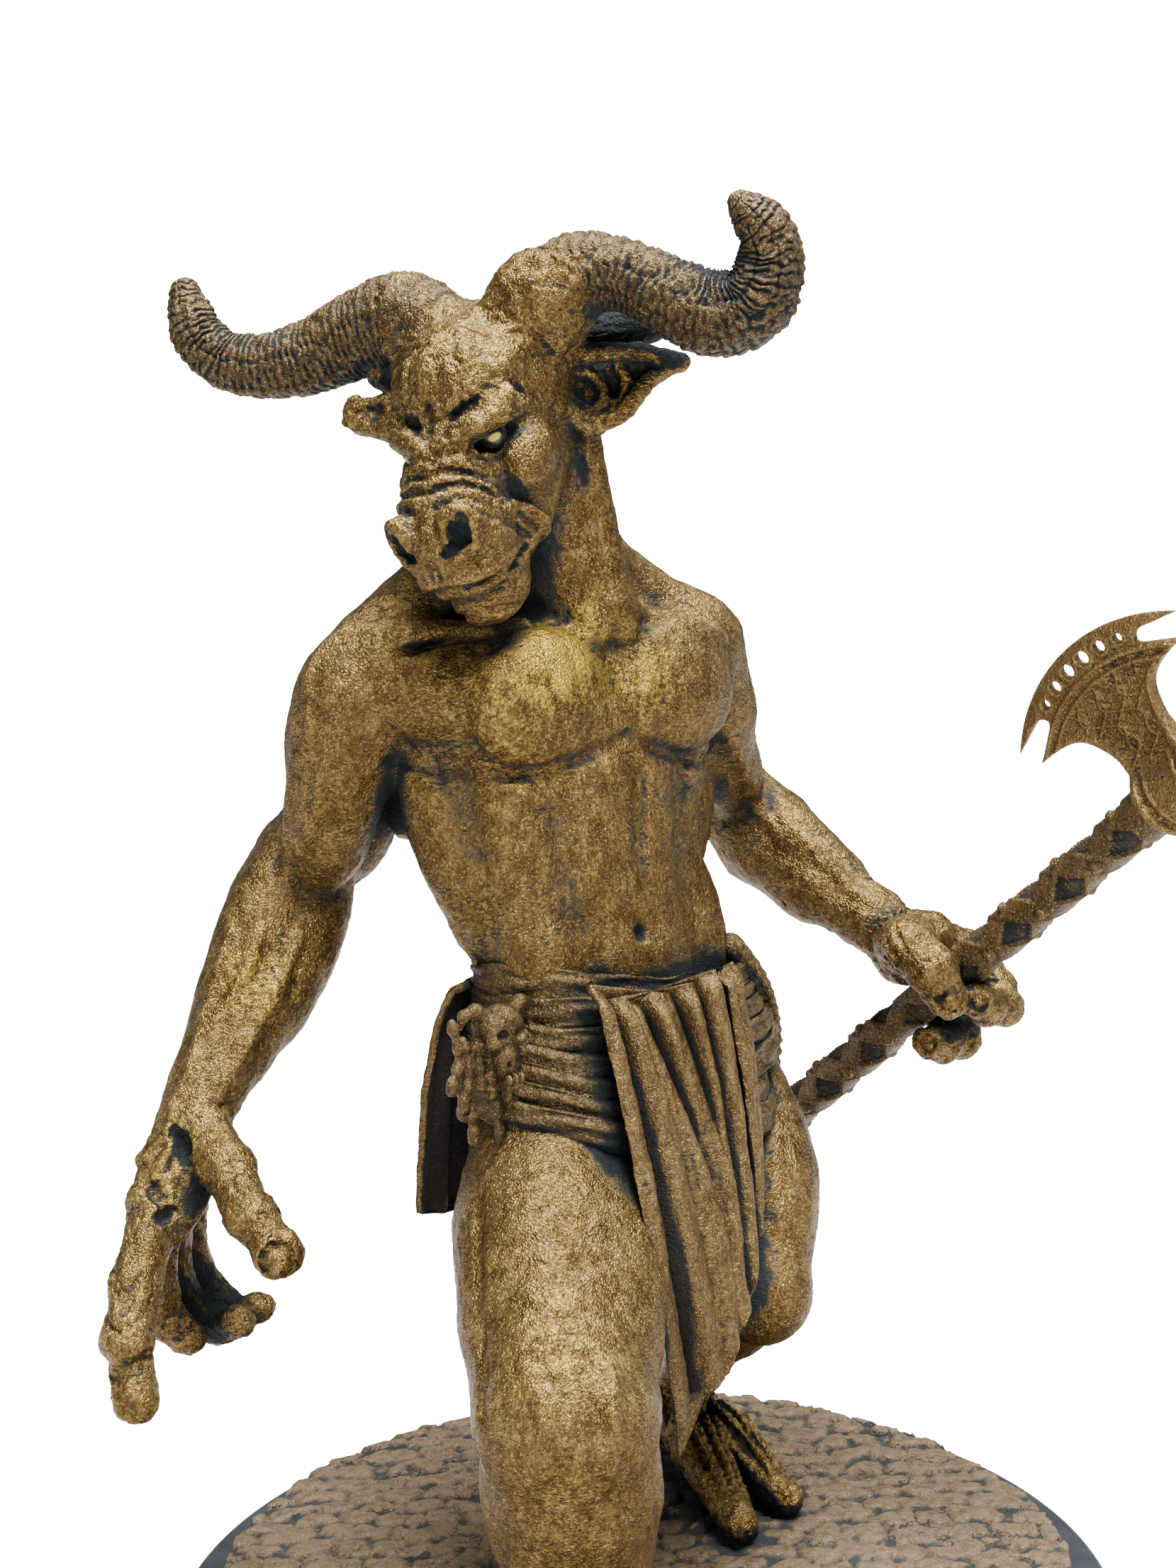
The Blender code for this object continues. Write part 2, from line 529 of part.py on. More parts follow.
bronze = material("bronze_paint", (0.30, 0.19, 0.075), 0.55, 0.42)
leather = material("wrapped_leather", (0.13, 0.075, 0.035), 0.3, 0.55)
blade_bronze = material("blade_paint", (0.33, 0.20, 0.075), 0.6, 0.38)
stone = material("ground_paint", (0.17, 0.10, 0.055), 0.1, 0.7)
slate = material("plinth_paint", (0.045, 0.055, 0.065), 0.0, 0.45)

# The minotaur: every muscle, horn and fold pressed together, then smoothed and thinned out.
for build in (trunk, neck, right_arm, right_hand, left_arm, left_hand, right_leg, left_leg, face):
    build()
chain(LEFT_HORN, LEFT_HORN_R, smooth=3)
chain(RIGHT_HORN, RIGHT_HORN_R, smooth=3)
for build in (ears, waist_wraps, rear_cloth, front_cloth, ornaments):
    build()
figure = node("figure_clay", mesh_of(solid_clay, "figure_clay"), helper=True)
add_modifier(figure, "REMESH", mode="VOXEL", voxel_size=CLAY_GRAIN * UNIT, adaptivity=0)
in_one = largest_island(evaluated_mesh(figure, "figure"), "figure_pressed")
pressed = node("figure_pressed", in_one, helper=True)
hollow = node("figure_hollows", mesh_of(hollows, "figure_hollows"), helper=True)
add_modifier(hollow, "REMESH", mode="VOXEL", voxel_size=CLAY_GRAIN * UNIT / 2, adaptivity=0)
boolean(pressed, hollow, "DIFFERENCE")
add_modifier(pressed, "REMESH", mode="VOXEL", voxel_size=CLAY_GRAIN * UNIT, adaptivity=0)
add_modifier(pressed, "SMOOTH", factor=0.5, iterations=4)
thinned = add_modifier(pressed, "DECIMATE", ratio=1.0, use_collapse_triangulate=True)
smooth_figure = evaluated_mesh(pressed, "smooth_figure")
thinned.ratio = FIGURE_TRIANGLES / sum(len(face.vertices) - 2 for face in smooth_figure.polygons)
cast = largest_island(evaluated_mesh(pressed, "minotaur"), "minotaur")
minotaur = node("minotaur", smooth_shaded(cast, 60), bronze)
shaft_turn = Vector(SHAFT).to_track_quat("Z", "Y")
through = bmesh.new()
round_bar(through, SHAFT_RADIUS + GAP, 200, 16, Matrix.Identity(4))
fist_hole = node("fist_hole", mesh_of(through, "fist_hole"), helper=True)
fist_hole.location = Vector(SHAFT_FOOT + SHAFT_TOP) / 2 * UNIT
fist_hole.rotation_mode = "QUATERNION"
fist_hole.rotation_quaternion = shaft_turn
under_feet = box((0, 0, GROUND_TOP + GAP - 20), (200, 200, 40), "under_feet")
boolean(minotaur, fist_hole, "DIFFERENCE")
boolean(minotaur, under_feet, "DIFFERENCE")

# Axe handle: a turned shaft with a butt knob, bands of strap and a top collar, pushed through the fist.
HANDLE_FOOT = -16.0
HANDLE_TOP = float(np.linalg.norm(SHAFT_TOP - SHAFT_FOOT)) + 9.0
GRIP_HEIGHT = float(np.linalg.norm(GRIP - SHAFT_FOOT))
BANDS = 9
THIN = SHAFT_RADIUS - 0.4
profile = [(0.0, HANDLE_TOP), (SHAFT_RADIUS - 0.8, HANDLE_TOP - 0.6), (THIN, HANDLE_TOP - 3.0)]
for i in reversed(range(BANDS)):
    at = HANDLE_FOOT + 5 + (HANDLE_TOP - 26 - HANDLE_FOOT) * i / (BANDS - 1)
    if abs(at - GRIP_HEIGHT) > 14:
        profile += [(THIN, at + 1.6), (SHAFT_RADIUS, at), (THIN, at - 1.6)]
profile += [(THIN, HANDLE_FOOT + 2.4), (SHAFT_RADIUS + 0.8, HANDLE_FOOT)]
profile += [(THIN - 0.2, HANDLE_FOOT - 2.4), (0.0, HANDLE_FOOT - 3.0)]
half_section = bmesh.new()
points = [half_section.verts.new((radius, 0, height)) for radius, height in profile]
for a, b in zip(points, points[1:]):
    half_section.edges.new((a, b))
handle = node("axe_handle", mesh_of(half_section, "axe_handle"), leather)
turned_shape = add_modifier(handle, "SCREW", axis="Z", angle=2 * pi, steps=14, render_steps=14)
turned_shape.use_merge_vertices = True
turned_shape.merge_threshold = 0.00005
turned_shape.use_smooth_shade = True
handle.location = Vector(SHAFT_FOOT) * UNIT
handle.rotation_mode = "QUATERNION"
handle.rotation_quaternion = shaft_turn

# Axe head: two crescent blades on a socket, each with two barbs a side and six holes along the edge.
# The blade lies in its own X and Y, with the shaft along Y, and is laid out in shares of its reach.
BLADE_TURN = radians(-19.7)
ACROSS = -cos(BLADE_TURN) * UNDER + sin(BLADE_TURN) * NEAR
FACE = np.cross(ACROSS, SHAFT)
EDGE_RADIUS = 1.111 * BLADE_REACH
EDGE_CENTRE = BLADE_REACH - EDGE_RADIUS
EDGE_STEPS = 12


def at_edge(radius, degrees):
    """A point on a circle about the cutting edge's centre."""
    return EDGE_CENTRE + radius * cos(radians(degrees)), radius * sin(radians(degrees))


edge = [at_edge(EDGE_RADIUS, 40.5 - 81 * i / EDGE_STEPS) for i in range(EDGE_STEPS + 1)]
hook = [(0.774, 0.574), (0.807, 0.446), (0.743, 0.399), (0.696, 0.473), (0.608, 0.635)]
waist = [(0.595, 0.456), (0.554, 0.324), (0.439, 0.257), (0.270, 0.203)]
below = [(x * BLADE_REACH, -y * BLADE_REACH) for x, y in hook + waist]
above = [(x, -y) for x, y in reversed(below)]
right_blade = above + edge + below
left_blade = [(-x, -y) for x, y in right_blade]
bow = extruded(right_blade + left_blade, BLADE_THICKNESS, "blade_pair")
for vertex in bow.vertices:
    way = np.hypot(abs(vertex.co.x) / UNIT - EDGE_CENTRE, vertex.co.y / UNIT)
    if abs(vertex.co.x) > BLADE_REACH * UNIT / 2:
        vertex.co.z *= 0.55 if way < 0.94 * EDGE_RADIUS else 0.3


along_shaft = Matrix.Rotation(pi / 2, 4, "X")
socket = bmesh.new()
round_bar(socket, SOCKET_RADIUS, 13, 16, along_shaft)
for end in (-6, 6):
    round_bar(socket, SOCKET_RADIUS + 0.8, 2.4, 16, Matrix.Translation((0, end, 0)) @ along_shaft)
bore = bmesh.new()
round_bar(bore, SHAFT_RADIUS + GAP, 60, 16, along_shaft)
punches = bmesh.new()
for side in (1, -1):
    for i, size in enumerate((0.025, 0.034, 0.039, 0.039, 0.034, 0.025)):
        x, y = at_edge(0.91 * EDGE_RADIUS, -27 + 10.8 * i)
        round_bar(punches, size * BLADE_REACH, 8, 8, Matrix.Translation((side * x, y, 0)))
axe_head = node("axe_head", smooth_shaded(mesh_of(socket, "axe_head")), blade_bronze)
eye_hole = node("eye_hole", mesh_of(bore, "eye_hole"), helper=True)
edge_holes = node("edge_holes", mesh_of(punches, "edge_holes"), helper=True)
blade_pair = node("blade_pair", bow, helper=True)
joined = boolean(axe_head, blade_pair, "UNION")
joined.use_self = True
boolean(axe_head, eye_hole, "DIFFERENCE")
boolean(axe_head, edge_holes, "DIFFERENCE")
for piece in (axe_head, eye_hole, edge_holes, blade_pair):
    piece.rotation_mode = "QUATERNION"
    piece.location = Vector(SHAFT_TOP) * UNIT
    piece.rotation_quaternion = Matrix((ACROSS, SHAFT, FACE)).transposed().to_quaternion()

# Cobbled ground: a slab whose top falls in short overlapping courses, cut to a worn round outline.
COURSES = 19
COURSE_RISE = 1.1
COURSE_PITCH = 2 * GROUND_RADIUS / COURSES
REST = PLINTH_HEIGHT + GAP
section = [(GROUND_RADIUS + 1, REST), (-GROUND_RADIUS - 1, REST)]
for i in range(COURSES):
    near_edge = -GROUND_RADIUS - 1 + (COURSE_PITCH + 2 / COURSES) * i
    crest = near_edge + 0.25 * COURSE_PITCH
    section += [(near_edge, GROUND_TOP - COURSE_RISE), (crest, GROUND_TOP - 0.1)]
    section.append((crest + 0.65 * COURSE_PITCH, GROUND_TOP - 0.35))
section.append((GROUND_RADIUS + 1, GROUND_TOP - COURSE_RISE))
slab = extruded(section, 2 * GROUND_RADIUS + 4, "cobbled_ground")
slab.transform(Matrix(((0, 0, 1), (1, 0, 0), (0, 1, 0))).to_4x4())
ground = node("cobbled_ground", slab, stone)
OUTLINE_POINTS = 44
turns = [2 * pi * i / OUTLINE_POINTS for i in range(OUTLINE_POINTS)]
wear = [0.5 * sin(5 * a + 1) + 0.35 * sin(11 * a) + 0.3 * sin(17 * a + 2) - 0.8 for a in turns]
rim = [((GROUND_RADIUS + w) * cos(a), (GROUND_RADIUS + w) * sin(a)) for w, a in zip(wear, turns)]
worn = extruded(rim, 2 * GROUND_TOP, "worn_outline")
worn_outline = node("worn_outline", worn, helper=True)
worn_outline.location.z = GROUND_TOP * UNIT
boolean(ground, worn_outline, "INTERSECT")

# Plinth: a smooth turned disc with eased edges.
disc = bmesh.new()
round_bar(disc, PLINTH_RADIUS, PLINTH_HEIGHT, 64, Matrix.Identity(4))
plinth = node("plinth", smooth_shaded(mesh_of(disc, "plinth")), slate)
plinth.location.z = PLINTH_HEIGHT / 2 * UNIT
easing = 0.1 * PLINTH_HEIGHT * UNIT
add_modifier(plinth, "BEVEL", width=easing, segments=2, limit_method="ANGLE", angle_limit=radians(60))
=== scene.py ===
"""A cast and painted statue dressed for its photograph: a horned warrior with an axe on a round plinth.

Lengths are in units, 160 to the plinth's diameter, and every mesh is brought to metres when it is made.
"""

from math import cos, pi, radians, sin, tau

import bpy
import numpy as np
import openvdb
from mathutils import Matrix, Vector


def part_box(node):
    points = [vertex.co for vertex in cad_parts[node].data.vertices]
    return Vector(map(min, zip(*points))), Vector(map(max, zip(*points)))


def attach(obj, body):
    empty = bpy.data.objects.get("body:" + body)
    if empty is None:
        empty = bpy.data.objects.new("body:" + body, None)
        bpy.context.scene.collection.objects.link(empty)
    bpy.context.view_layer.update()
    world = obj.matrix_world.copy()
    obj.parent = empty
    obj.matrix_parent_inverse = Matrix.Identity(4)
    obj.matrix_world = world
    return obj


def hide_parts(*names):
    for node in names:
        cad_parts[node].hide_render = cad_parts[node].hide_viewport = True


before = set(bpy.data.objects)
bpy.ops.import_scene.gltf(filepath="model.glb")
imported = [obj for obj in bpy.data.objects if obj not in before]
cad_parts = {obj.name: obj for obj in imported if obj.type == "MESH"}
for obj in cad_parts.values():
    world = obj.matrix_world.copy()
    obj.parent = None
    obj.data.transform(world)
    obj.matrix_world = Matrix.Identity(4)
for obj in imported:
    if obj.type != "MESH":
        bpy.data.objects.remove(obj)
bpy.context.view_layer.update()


# Body: cast in resin in one piece with the head, hands, feet and clothes, then brushed with bronze paint
# over a dark wash. It stands on its two hooves, which are glued to the ground. Its shape is pressed muscle
# after muscle into a field of clay.

plinth_low, plinth_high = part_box("plinth")
UNIT = (plinth_high.x - plinth_low.x) / 160
UPRIGHT = np.eye(3)
GROUND_TOP = 18.0


def smooth_step(low, high, value):
    """0 below low, 1 above high, and an S curve between."""
    t = np.clip((value - low) / (high - low), 0, 1)
    return t * t * (3 - 2 * t)


def bell(value, width):
    """1 at zero, falling off to both sides like a bell of the given half width."""
    return np.exp(-((value / width) ** 2))


def unit(vector):
    """The vector brought to a length of 1."""
    return vector / np.linalg.norm(vector)


def ripple(points, size, seed, waves=7):
    """Soft noise between about -1 and 1: sine waves of about the given size, summed in random directions."""
    random = np.random.default_rng(seed)
    flat = points.reshape(-1, 3)
    total = 0
    for _ in range(waves):
        direction = unit(random.normal(size=3)) * tau / (size * random.uniform(0.7, 1.5))
        total = total + np.sin(flat @ direction + random.uniform(0, tau))
    return (total / np.sqrt(waves)).reshape(points.shape[:-1])


def spline(points, steps):
    """Points of a smooth curve through the given ones, with so many steps a span."""
    points = np.array(points, float)
    padded = np.vstack([2 * points[0] - points[1], points, 2 * points[-1] - points[-2]])
    t = np.linspace(0, 1, steps, endpoint=False)[:, None]
    spans = []
    for a, b, c, d in zip(padded, padded[1:], padded[2:], padded[3:]):
        bend = (2 * a - 5 * b + 4 * c - d) * t**2 + (3 * b - a - 3 * c + d) * t**3
        spans.append((2 * b + (c - a) * t + bend) / 2)
    return np.vstack(spans + [points[-1:]])


class Clay:
    """Distance to the surface on a grid of even cells: negative inside, and never more than the band."""

    def __init__(self, low, high, cell, band=3.0):
        self.low = np.array(low, float)
        self.cell = cell
        self.band = band
        cells = np.ceil((np.array(high) - self.low) / cell).astype(int) + 1
        self.far = np.full(cells, band, np.float32)

    def window(self, low, high):
        """The part of the grid around a shape, with the places of its cells."""
        first = np.floor((np.array(low) - self.band - self.low) / self.cell).astype(int)
        last = np.ceil((np.array(high) + self.band - self.low) / self.cell).astype(int) + 1
        first, last = np.clip(first, 0, self.far.shape), np.clip(last, 1, self.far.shape)
        part = tuple(slice(a, b) for a, b in zip(first, last))
        spans = zip(first, last, self.low)
        ticks = [(np.arange(a, b) * self.cell + c).astype(np.float32) for a, b, c in spans]
        return part, np.meshgrid(*ticks, indexing="ij", sparse=True)

    def press(self, part, shape, blend, cut):
        """Adds the shape, or hollows it out, with a rounded join of about the blend's width."""
        here = self.far[part]
        if here.size == 0:
            return
        if cut:
            shape = -shape
        join = np.maximum(blend - np.abs(here - shape), 0) ** 2 / (4 * blend)
        self.far[part] = np.maximum(here, shape) + join if cut else np.minimum(here, shape) - join

    def at(self, points):
        """The distance at any points, mixed from the eight cells around each."""
        place = (points - self.low) / self.cell
        place = np.clip(place, 0, np.array(self.far.shape) - 1.001)
        base = place.astype(int)
        t = place - base
        total = 0
        for corner in np.ndindex(2, 2, 2):
            weight = np.prod(np.where(corner, t, 1 - t), axis=1)
            total = total + weight * self.far[tuple((base + corner).T)]
        return total


clay = None


def limb(start, end, start_radius, end_radius, blend=2.0, cut=False):
    """Round bar between two points, thinning from one radius to the other."""
    start, end = np.array(start, float), np.array(end, float)
    most = max(start_radius, end_radius)
    part, places = clay.window(np.minimum(start, end) - most, np.maximum(start, end) + most)
    x, y, z = (place - first for place, first in zip(places, start))
    run = end - start
    t = np.clip((x * run[0] + y * run[1] + z * run[2]) / max(run @ run, 1e-9), 0, 1)
    away = np.sqrt((x - t * run[0]) ** 2 + (y - t * run[1]) ** 2 + (z - t * run[2]) ** 2)
    clay.press(part, away - start_radius - (end_radius - start_radius) * t, blend, cut)


def chain(points, radii, blend=2.0, cut=False, smooth=0):
    """Round bars end to end, on request along a smooth curve."""
    if smooth:
        points, radii = spline(points, smooth), spline([[r] for r in radii], smooth)[:, 0]
    for a, b, first, last in zip(points, points[1:], radii, radii[1:]):
        limb(a, b, first, last, blend, cut)


def lump(centre, sizes, axes_rows, blend=2.0, cut=False):
    """Egg shape with the given half sizes along the given axes."""
    centre, rows, sizes = (np.array(v, float) for v in (centre, axes_rows, sizes))
    reach = np.sqrt(((rows * sizes[:, None]) ** 2).sum(0))
    part, (x, y, z) = clay.window(centre - reach, centre + reach)
    x, y, z = x - centre[0], y - centre[1], z - centre[2]
    inner = outer = 0
    for row, size in zip(rows, sizes):
        along = x * row[0] + y * row[1] + z * row[2]
        inner = inner + (along / size) ** 2
        outer = outer + (along / size**2) ** 2
    inner, outer = np.sqrt(inner), np.sqrt(outer)
    clay.press(part, inner * (inner - 1) / np.maximum(outer, 1e-6), blend, cut)


def muscle(start, end, wide, deep, facing, blend=2.0, extra=1.0):
    """Spindle between two points, wide across and deep towards the facing direction."""
    start, end, facing = (np.array(v, float) for v in (start, end, facing))
    half = np.linalg.norm(end - start) / 2 * extra
    along = unit(end - start)
    facing = unit(facing - (facing @ along) * along)
    lump((start + end) / 2, (half, wide, deep), (along, np.cross(along, facing), facing), blend)


# The spine's place at each height, and how far the trunk is turned there, in degrees.
SPINE_Z = [85, 105, 119, 130, 145, 160, 200]
SPINE_X = [-0.5, -1, -3.2, -6.3, -7.6, -7.0, -9]
SPINE_Y = [7, 7, 5.5, 4, 5, 6, 9]
SPINE_TURN = [40, 40, 40, 40, 38, 36, 33]
FRONT = (0, -1, 0)


def turned(vector, degrees):
    """The vector turned about the upright axis."""
    a = radians(degrees)
    x, y, z = vector
    return np.array([x * cos(a) - y * sin(a), x * sin(a) + y * cos(a), z])


def axes(z):
    """The trunk's own left, front and up at height z."""
    turn = np.interp(z, SPINE_Z, SPINE_TURN)
    return turned((1, 0, 0), turn), turned((0, -1, 0), turn), np.array([0, 0, 1.0])


def torso(left, front, z):
    """A point given from the spine at height z, towards the body's left and front."""
    spine = np.array([np.interp(z, SPINE_Z, SPINE_X), np.interp(z, SPINE_Z, SPINE_Y), z])
    return spine + left * axes(z)[0] + front * axes(z)[1]


def trunk():
    """Rib cage, belly, hips, back, chest muscles, ribs and navel."""
    a = axes(157)
    lump(torso(0, -1, 157), (25.5, 15, 25), a)
    lump(torso(0, -4, 168), (28.5, 11, 11.5), axes(170), 4)
    lump(torso(0, 0, 140), (22, 13, 20), axes(140), 4)
    lump(torso(0, 0, 122), (21.5, 13, 22), axes(124), 4)
    lump(torso(0, 0, 106), (21.6, 15, 15), axes(106), 4)
    muscle((-31, 5, 160), (-35.5, 4, 143), 4.6, 6, FRONT, 4)
    for s in (-1, 1):
        muscle(torso(s * 27.3, -5, 164), torso(s * 15.2, -4, 122), 8.1, 7, a[1], 3)
        muscle(torso(s * 16.5, 4.5, 140), torso(s * 15.5, 6, 112), 6, 6, a[1], 3)
        back = [(4.5, -9.5, 176), (5, -10.5, 150), (4.5, -9, 130), (5, -9, 112)]
        chain([torso(s * left, front, z) for left, front, z in back], [5, 5.4, 4.6, 5], 2)
        muscle(torso(s * 18, -10.5, 175), torso(s * 11, -12, 155), 7.5, 5, a[1], 2)
        muscle(torso(s * 24, -7, 168), torso(s * 13, -10, 140), 7.5, 5, a[1], 2)
        lump(torso(s * 9.5, -9, 100), (10.5, 9.5, 11), axes(100), 2)
    lump(torso(0, -9, 178), (11, 6, 11), a, 4)
    for s, reach in ((-1, 35), (1, 27)):
        lump(torso(s * 12.5, 9.3, 166.5), (13.4, 7.0, 11.8), a, 1.2)
        muscle(torso(s * 4, 10.8, 168), torso(s * reach, -3, 168), 9, 6.6, a[1], 2.2)
        limb(torso(s * 3, 11.5, 176.5), torso(s * (reach - 6), -2, 178), 1.8, 2.0, 2.0)
    for s in (-1, 1):
        for z, f in ((151.5, 11.3), (144.2, 11.1), (136.8, 10.7)):
            lump(torso(s * 5.0, f, z), (5.0, 2.4, 4.4), axes(z), 3.4)
        muscle(torso(s * 4.8, 11, 133.5), torso(s * 3.5, 11.2, 112), 5.2, 2.9, axes(124)[1], 2)
        for i in range(4):
            z = 154 - 5.2 * i
            start = torso(s * (14.5 - i * 0.3), 11.6 - i * 0.5, z - 3)
            muscle(start, torso(s * (23 - i), 5.3 - i * 0.2, z + 2.5), 1.8, 1.5, a[1], 2.8)
    lump(torso(0, 14.4, 128.3), (1.2, 3, 1.5), axes(128), 1.5, cut=True)


def on_skin(points):
    """The points moved to the nearest skin: by the whole figure's rough clay, then by the clay in work."""
    for field, turns in ((bulk, 2), (clay, 3)):
        for _ in range(turns):
            h = field.cell * 0.75
            slope = np.stack([field.at(points + step) - field.at(points - step) for step in np.eye(3) * h],
                             -1)
            slope = slope / np.maximum(np.linalg.norm(slope, axis=1, keepdims=True), 1e-3)
            points = points - slope * np.clip(field.at(points), -4, 4)[:, None]
    return points, slope


def cord(points, radius, blend=0.8, cut=False, spans=5, lift=None):
    """A raised or sunken line along a smooth curve laid on the skin, thinner towards both ends."""
    points, out = on_skin(spline(points, spans))
    points = points + out * radius * ((0.15 if cut else -0.35) if lift is None else lift)
    t = np.linspace(0, 1, len(points))
    chain(points, radius * (0.35 + 0.65 * np.sin(pi * t) ** 0.6), blend, cut)


def body_details():
    """Furrows between the muscles, veins and tendons on the trunk, arms and legs."""
    furrows = (
        ([(-37, -9, 158), (-28.3, -10.6, 156.2), (-19.3, -13.7, 155.6), (-9.3, -11.4, 156.4),
          (-2.5, -7.8, 158.7), (1.9, -4.7, 160.6)], 0.55),
        ([(1.9, -4.7, 160.6), (6.7, -0.7, 157.1), (13.3, 7.3, 153.8), (19, 17, 153)], 0.5),
        ([(3.0, -4.2, 156), (3.5, -4.5, 150.6), (3.0, -4.8, 142.6), (3.9, -4.7, 134.4)], 0.55),
        ([(-34.1, -11.2, 175.2), (-27.6, -9.1, 175.2), (-19.8, -8.6, 175.8)], 0.35),
        ([(-24.5, -28, 92), (-26.5, -42, 78), (-24.5, -52, 66)], 0.5),
    )
    for line, size in furrows:
        cord(line, 0.8 * size, 1.8, True, lift=0.4)
    muscle_lines_and_veins = (
        ([(-42.2, -6.8, 179.0), (-47.6, -8.5, 173.2), (-48.5, -10.1, 162.2), (-51.4, -6.2, 156.2),
          (-53.9, -3.0, 146.2), (-54.0, -1.0, 139.3)], 0.5),
        ([(-63.0, -4.1, 131.8), (-66.5, -7.5, 121.0), (-69.4, -14.2, 111.1), (-72.6, -17.6, 104.1)], 0.8),
        ([(-51.8, -1.9, 131.0), (-56.2, -7.9, 120.7), (-62.2, -13.2, 110.6), (-65.9, -17.3, 104.9)], 0.8),
        ([(-58.5, -6, 131), (-61, -7, 124), (-66.5, -10, 114)], 0.6),
        ([(-46.5, -14, 160), (-49, -10.5, 149), (-53, -5, 141)], 0.6),
        ([(-34.1, -11.2, 177.6), (-27.6, -9.1, 178.4), (-19.8, -8.6, 179.0), (-13, -6.5, 180)], 1.2),
        ([(-0.7, -4.7, 181.5), (6.3, 5.3, 178.2), (14.4, 6.2, 175.6), (18.8, 13.1, 173.1)], 1.2),
        ([(-33, -8, 128), (-30, -3, 121), (-25, 2, 114)], 0.8),
        ([(28.8, 33.7, 140.1), (34.6, 29.6, 134.2), (43, 24, 126)], 0.8),
        ([(19, 17, 158), (24, 36, 143), (33, 31, 133)], 0.7),
        ([(-18, -52, 76), (-14, -56, 68), (-15, -54, 58)], 1.0),
        ([(-4, -50, 74), (-5, -54, 66), (-7, -52, 56)], 0.9),
    )
    for line, size in muscle_lines_and_veins:
        cord(line, size, 1.4)
    for i in range(5):
        z = 100.5 + 1.5 * i
        wrinkle = [(-74.5 + i, -18, z - 3), (-70.5 + i * 0.7, -21.5, z), (-65 + i * 0.4, -18, z + 1.2)]
        cord(wrinkle, 0.35, 0.5, True)


def creases(points):
    """Push for the skin: broad unevenness, pitting and short wrinkles across the muscles."""
    uneven = 0.13 * ripple(points, 7, 3) + 0.07 * ripple(points, 2.4, 4) + 0.04 * ripple(points, 1.2, 8)
    wrinkles = ripple(points * (1, 1, 2.2), 4.2, 5) + 0.6 * ripple(points * (1, 1, 1.6), 1.7, 6)
    return uneven - 0.26 * bell(wrinkles, 0.16) * smooth_step(-0.3, 0.9, ripple(points, 11, 7))


# Head: part of the casting, with a bull's brow, muzzle and ears on a thick neck. Its hide is knobbly and
# cracked, and its folds, lids and lips are drawn as raised and sunken lines.

# The head is bowed, leans to one side and looks over the statue's right hand.
HEAD_BOW, HEAD_LEAN, HEAD_LOOK = radians(32), radians(11), -26
HEAD_CENTRE = np.array([-19.6, -8.0, 217.0])
sideways = np.array([1.0, 0, 0])
ahead = np.array([0, -cos(HEAD_BOW), -sin(HEAD_BOW)])
above = np.array([0, -sin(HEAD_BOW), cos(HEAD_BOW)])
lean_side = cos(HEAD_LEAN) * sideways + sin(HEAD_LEAN) * above
lean_up = cos(HEAD_LEAN) * above - sin(HEAD_LEAN) * sideways
HEAD_AXES = [turned(v, HEAD_LOOK) for v in (lean_side, ahead, lean_up)]


def head(left, front, up):
    """A point given from the middle of the skull in the head's own directions."""
    return HEAD_CENTRE + left * HEAD_AXES[0] + front * HEAD_AXES[1] + up * HEAD_AXES[2]


def neck():
    """Thick neck with its cords and the slopes down to both shoulders."""
    chain([(-7, 12, 174), (-9, 10, 188), (-14, 3, 206)], [11.5, 9.2, 9.2], 4)
    limb((-3.6, 15, 187.6), (13, 20, 174.4), 5.4, 5.5, 4)
    limb((-5, 19, 182), (9, 23, 170), 7, 7, 4)
    limb((-14, 9, 194.5), (-38, -1, 176), 7.5, 6.3, 4)
    limb((-14, 14, 188), (-33, 8, 173.5), 8, 7.7, 4)
    chain([(-8.3, 18, 174), (-11.4, 16, 189), (-15.6, 9, 205)], [12.2, 9.4, 9.3], 4)
    for s in (-1, 1):
        limb(head(s * 9, -5, -14), torso(s * 3, 11.5, 177.5), 3.0, 2.4, 2)
    limb(head(0, 0, -14), torso(0, 6, 181), 7, 8, 3)


# Middle line of each horn from the skull to the tip, with its half thickness there.
LEFT_HORN = [(-15.0, -6, 220.4), (-9.8, -8.5, 228.2), (-4.4, -10, 232.2), (2.8, -12, 231.7),
             (9.7, -14, 228.3), (15.3, -15, 225.6), (20.6, -16, 225.9), (23.4, -17, 228.6),
             (24.6, -18, 233.2), (23.8, -19, 237.0), (21.5, -19.5, 239.8), (20.1, -20, 241.2)]
LEFT_HORN_RADII = [7.0, 6.9, 6.6, 5.8, 6.2, 6.8, 6.4, 5.8, 5.1, 4.3, 3.3, 2.2]
RIGHT_HORN = [(-24.0, -3, 221.2), (-30.8, 0, 226.4), (-39, 4, 224.8), (-47.3, 7, 221.6),
              (-54.5, 9, 220.5), (-60, 11, 221.1), (-63.4, 12, 222.9), (-66.1, 13, 225.8),
              (-67.5, 14, 229.8), (-68.2, 15, 232.6)]
RIGHT_HORN_RADII = [7.2, 8.0, 7.2, 6.2, 5.5, 5.0, 4.6, 4.4, 3.8, 2.7]


